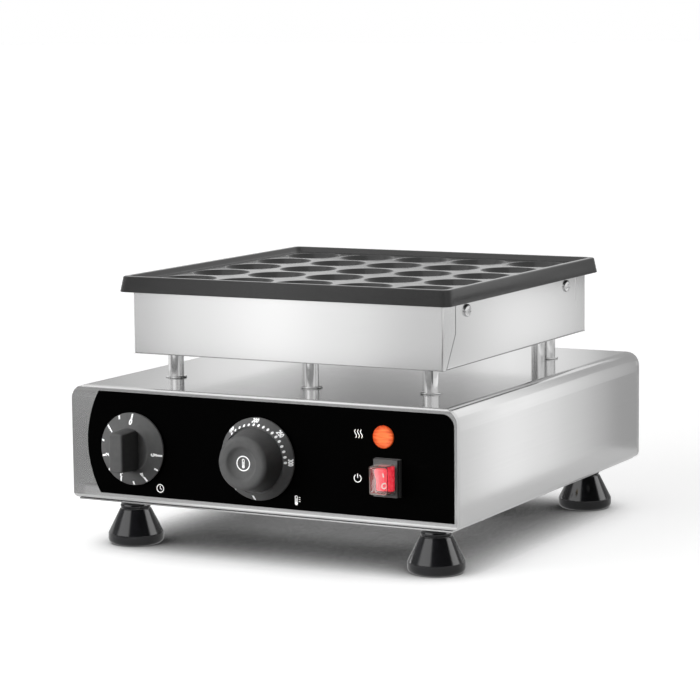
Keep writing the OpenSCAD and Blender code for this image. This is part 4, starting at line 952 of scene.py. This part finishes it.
def rim_loop(square, half, corner, z):
    """The points of a square outline, spread on a larger square with round corners."""
    loop = []
    for x, y in square:
        qx, qy = x * half / FIELD_HALF, y * half / FIELD_HALF
        inner = half - corner
        if abs(qx) > inner and abs(qy) > inner:
            cx, cy = math.copysign(inner, qx), math.copysign(inner, qy)
            arm = Vector((qx - cx, qy - cy)).normalized() * corner
            qx, qy = cx + arm.x, cy + arm.y
        loop.append((qx, qy, z))
    return loop


def make_plate():
    """Field of cups in square cells, inside a raised rim and over a block."""
    bm = bmesh.new()
    profile = cup_profile()
    half = CUP_PITCH / 2
    angles = [2 * math.pi * k / CUP_SEGMENTS for k in range(CUP_SEGMENTS)]
    middle = (CUPS - 1) / 2
    for i in range(CUPS):
        for j in range(CUPS):
            cx, cy = (i - middle) * CUP_PITCH, (j - middle) * CUP_PITCH
            edge = []
            for a in angles:
                reach = half / max(abs(math.cos(a)), abs(math.sin(a)))
                edge.append((cx + reach * math.cos(a), cy + reach * math.sin(a), LAND_Z))
            loops = [edge]
            for r, depth in profile:
                loops.append([(cx + r * math.cos(a), cy + r * math.sin(a), LAND_Z - depth) for a in angles])
            loft(bm, loops, (False, True))
    bmesh.ops.remove_doubles(bm, verts=bm.verts, dist=0.01)

    # The field's outline, walked once round, carries the rim, the wall and the underside
    border = [e for e in bm.edges if e.is_boundary]
    follow = {}
    for e in border:
        for a, b in ((e.verts[0], e.verts[1]), (e.verts[1], e.verts[0])):
            follow.setdefault(a, []).append(b)
    first = border[0].verts[0]
    walk, before, here = [first], None, first
    while True:
        ahead = [v for v in follow[here] if v is not before][0]
        if ahead is first:
            break
        walk.append(ahead)
        before, here = here, ahead
    square = [(v.co.x, v.co.y) for v in walk]
    foot = RIM_TOP_HALF - RIM_TOP_W - 2.4
    section = fillet([
        (FIELD_HALF, LAND_Z, 0), (foot, LAND_Z, 1.2), (RIM_TOP_HALF - RIM_TOP_W, PLATE_TOP, 1.0),
        (RIM_TOP_HALF, PLATE_TOP, 1.2), (RIM_HALF, RIM_Z, 0.6), (BLOCK_HALF, RIM_Z, 0.3), (BLOCK_HALF, BLOCK_Z, 0.8),
        (120.0, BLOCK_Z, 0),
    ], 5)
    rows = [walk]
    for reach, z in section[1:]:
        corner = RIM_CORNER - max(0.0, min(2.0, (RIM_TOP_HALF - reach) * 0.3))
        rows.append([bm.verts.new(p) for p in rim_loop(square, reach, corner, z)])
    count = len(walk)
    for a, b in zip(rows, rows[1:]):
        for k in range(count):
            m = (k + 1) % count
            bm.faces.new((a[k], a[m], b[m], b[k]))
    bm.faces.new(rows[-1])
    plate = make_piece(
        "cup_plate", bm, finish["coated_casting"], "appliance",
        Matrix.Translation((0, MID_Y, 0)), sharp=45.0,
    )
    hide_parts("baking_plate")


# ---- Prints

def ellipse(cx, cy, rx, ry, start, end, steps):
    """Points of an elliptic arc between two angles in degrees."""
    turns = [math.radians(start + (end - start) * k / steps) for k in range(steps + 1)]
    return [(cx + rx * math.cos(a), cy + ry * math.sin(a)) for a in turns]


# Digits as strokes in a box 0.6 wide and 1 high
DIGITS = {
    "0": [ellipse(0.3, 0.5, 0.26, 0.46, 90, 450, 24)],
    "1": [[(0.1, 0.72), (0.34, 0.96), (0.34, 0.04)]],
    "2": [ellipse(0.3, 0.69, 0.24, 0.27, 165, -35, 14) + [(0.06, 0.04), (0.56, 0.04)]],
    "3": [ellipse(0.28, 0.73, 0.22, 0.23, 150, -85, 12), ellipse(0.28, 0.28, 0.26, 0.24, 85, -155, 14)],
    "4": [[(0.44, 0.04), (0.44, 0.96), (0.04, 0.30), (0.58, 0.30)]],
    "5": [[(0.52, 0.96), (0.14, 0.96), (0.10, 0.54)] + ellipse(0.29, 0.33, 0.25, 0.29, 130, -145, 16)],
}


class Ink:
    """Flat strokes and dots in a plane, later wrapped on a surface as a thin film."""

    def __init__(self):
        self.bm = bmesh.new()

    def quad_strip(self, left, right):
        a = [self.bm.verts.new((x, y, 0)) for x, y in left]
        b = [self.bm.verts.new((x, y, 0)) for x, y in right]
        for k in range(len(a) - 1):
            self.bm.faces.new((a[k], b[k], b[k + 1], a[k + 1]))

    def stroke(self, points, width):
        """Ribbon along points, with mitred bends and no step longer than half a millimetre."""
        closest = 0.5
        fine = [Vector(points[0])]
        for p in points[1:]:
            q = Vector(p)
            start = fine[-1]
            steps = max(1, math.ceil((q - start).length / closest))
            for k in range(1, steps + 1):
                fine.append(start.lerp(q, k / steps))
        ways = [(b - a).normalized() for a, b in zip(fine, fine[1:])]
        left, right = [], []
        for k, p in enumerate(fine):
            one = ways[max(0, k - 1)]
            two = ways[min(len(ways) - 1, k)]
            along = (one + two).normalized()
            across = Vector((-along.y, along.x))
            lean = max(0.5, abs(across.dot(Vector((-one.y, one.x)))))
            left.append(tuple(p + across * (width / 2 / lean)))
            right.append(tuple(p - across * (width / 2 / lean)))
        self.quad_strip(left, right)

    def dot(self, cx, cy, r):
        steps = 20
        centre = self.bm.verts.new((cx, cy, 0))
        ring = [self.bm.verts.new((cx + x, cy + y, 0)) for x, y, _ in circle(r, 0, steps)]
        for k in range(steps):
            self.bm.faces.new((centre, ring[k], ring[(k + 1) % steps]))

    def number(self, text, cx, cy, height, width, turn):
        """A number centred at (cx, cy), turned clockwise by turn degrees."""
        pitch = 0.74 * height
        total = pitch * (len(text) - 1)
        c, s = math.cos(math.radians(-turn)), math.sin(math.radians(-turn))
        for k, digit in enumerate(text):
            for path in DIGITS[digit]:
                flat = []
                for x, y in path:
                    u = (x - 0.3) * height + k * pitch - total / 2
                    v = (y - 0.5) * height
                    flat.append((cx + u * c - v * s, cy + u * s + v * c))
                self.stroke(flat, width)

    def wrap(self, name, height_of, body, place, thickness=0.06):
        """Lifts every point just above the surface below it and closes the film by its thickness."""
        lift = 0.02
        base = list(self.bm.faces)
        for v in self.bm.verts:
            v.co.z = height_of(v.co.x, v.co.y) + lift
        for f in base:
            f.normal_update()
            if f.normal.z < 0:
                f.normal_flip()
        grown = bmesh.ops.extrude_face_region(self.bm, geom=base)
        for v in [g for g in grown["geom"] if isinstance(g, bmesh.types.BMVert)]:
            v.co.z += thickness
        return make_piece(name, self.bm, finish["print_white"], body, place, weld=0)


def polar(radius, clockwise):
    """Point at that radius, clockwise from the top."""
    a = math.radians(90.0 - clockwise)
    return radius * math.cos(a), radius * math.sin(a)


def ray(ink, inner, outer, clockwise, width):
    """Line outwards between two radii."""
    ink.stroke([polar(inner, clockwise), polar(outer, clockwise)], width)


def on_skirt(skirt):
    """Height of a knob's skirt at a point."""
    (outer, low), (inner, high) = skirt
    return lambda x, y: low + (outer - math.hypot(x, y)) * (high - low) / (outer - inner)


def make_timer_print():
    """Minutes 0 to 5 anticlockwise, each with a line outside it, and short half marks."""
    line_start, half_start, line_end, line_w = 22.9, 23.9, 26.6, 1.4
    ink = Ink()
    for text, turn in (("0", 3), ("1", -51), ("2", -104), ("3", -157.6), ("4", 151), ("5", 97.5)):
        x, y = polar(20.8, turn)
        ink.number(text, x, y, 3.4, 1.0, turn)
        ray(ink, line_start, line_end, turn, line_w)
    for turn in (-23.4, -78, -130, 176.6, 123.3):
        ray(ink, half_start, line_end, turn, line_w)
    ink.wrap(
        "timer_numbers", on_skirt(TIMER_SKIRT), "timer_dial",
        on_front(TIMER_X, CONTROL_Z) @ Matrix.Translation((0, 0, KNOB_BACK)),
    )


def make_temperature_print():
    """Dots from 150 to 300 in steps of 10, numbers outside each fifth, an off line and a lowest dot."""
    first_turn, step, dot_ring, number_ring = -45.0, 9.03, 25.8, 28.6
    ink = Ink()
    for k in range(16):
        ink.dot(*polar(dot_ring, first_turn + step * k), 0.9)
    for k, text in enumerate(("150", "200", "250", "300")):
        turn = first_turn + step * 5 * k
        x, y = polar(number_ring, turn)
        ink.number(text, x, y, 2.4, 0.72, turn)
    ink.dot(*polar(number_ring, -142.0), 0.95)
    ray(ink, 26.2, 30.0, -176.0, 1.6)
    place = on_front(THERMOSTAT_X, CONTROL_Z) @ Matrix.Translation((0, 0, KNOB_BACK))
    ink.wrap("temperature_numbers", on_skirt(TEMPERATURE_SKIRT), "temperature_dial", place)

    sign = Ink()
    sign.stroke(ellipse(0, 0, 5.2, 5.2, 0, 360, 48), 0.85)
    sign.dot(0.0, -2.4, 1.15)
    sign.stroke([(-0.75, -1.6), (-0.75, 2.4)] + ellipse(0, 2.4, 0.75, 0.75, 180, 0, 10) + [(0.75, -1.6)], 0.5)
    sign.stroke([(0.0, -2.0), (0.0, 1.3)], 0.5)
    sign.wrap(
        "temperature_sign", lambda x, y: dish_height(math.hypot(x, y)), "temperature_dial", place
    )


def make_panel_signs():
    """Plain pictograms beside the controls: clock, thermometer, warm air and on-off."""
    ink = Ink()
    # Clock
    x, z = -83.0, 50.5
    ink.stroke(ellipse(x, z, 2.9, 2.9, 0, 360, 36), 0.55)
    ink.stroke([(x, z + 1.9), (x, z), (x + 1.4, z - 0.8)], 0.5)
    # Thermometer
    x, z = 32.0, 50.5
    ink.dot(x, z - 2.2, 1.25)
    ink.stroke([(x - 0.85, z - 1.3), (x - 0.85, z + 2.6)] + ellipse(x, z + 2.6, 0.85, 0.85, 180, 0, 10)
               + [(x + 0.85, z - 1.3)], 0.45)
    ink.stroke([(x, z - 2.0), (x, z + 1.6)], 0.5)
    for k in range(3):
        ink.stroke([(x + 2.0, z - 0.6 + 1.5 * k), (x + 3.4, z - 0.6 + 1.5 * k)], 0.45)
    # Warm air
    x, z = 83.0, 102.5
    for k in (-1, 0, 1):
        wave = [(x + 2.3 * k + 0.75 * math.sin(2 * math.pi * t / 12), z - 3.0 + 0.5 * t) for t in range(13)]
        ink.stroke(wave, 0.55)
    # On-off
    x, z = 82.0, 70.5
    ink.stroke(ellipse(x, z, 2.8, 2.8, 125, 415, 36), 0.6)
    ink.stroke([(x, z + 3.4), (x, z + 0.2)], 0.6)
    ink.wrap("panel_signs", lambda u, v: OVERLAY_T, "appliance", on_front(0, 0), 0.04)


def make_rocker_print(place):
    """I on the upper face and O on the lower one."""
    def height_of(x, y):
        return ROCKER_CREASE - ROCKER_PIVOT + abs(y) * math.tan(ROCKER_TILT)

    ink = Ink()
    ink.stroke([(0.0, 2.4), (0.0, 5.6)], 1.0)
    ink.stroke(ellipse(0, -3.9, 1.7, 1.7, 0, 360, 28), 0.8)
    ink.wrap("rocker_marks", height_of, "rocker", place, 0.05)


set_camera()
set_world()
set_sun()
set_floor()
set_cards()
finish = make_materials()
dress_nodes(finish)
make_feet()
make_timer_knob()
make_temperature_knob()
make_lens()
make_cover()
rocker_place = make_rocker()
make_washers()
make_case_screws()
make_plate()
make_timer_print()
make_temperature_print()
make_panel_signs()
make_rocker_print(rocker_place)
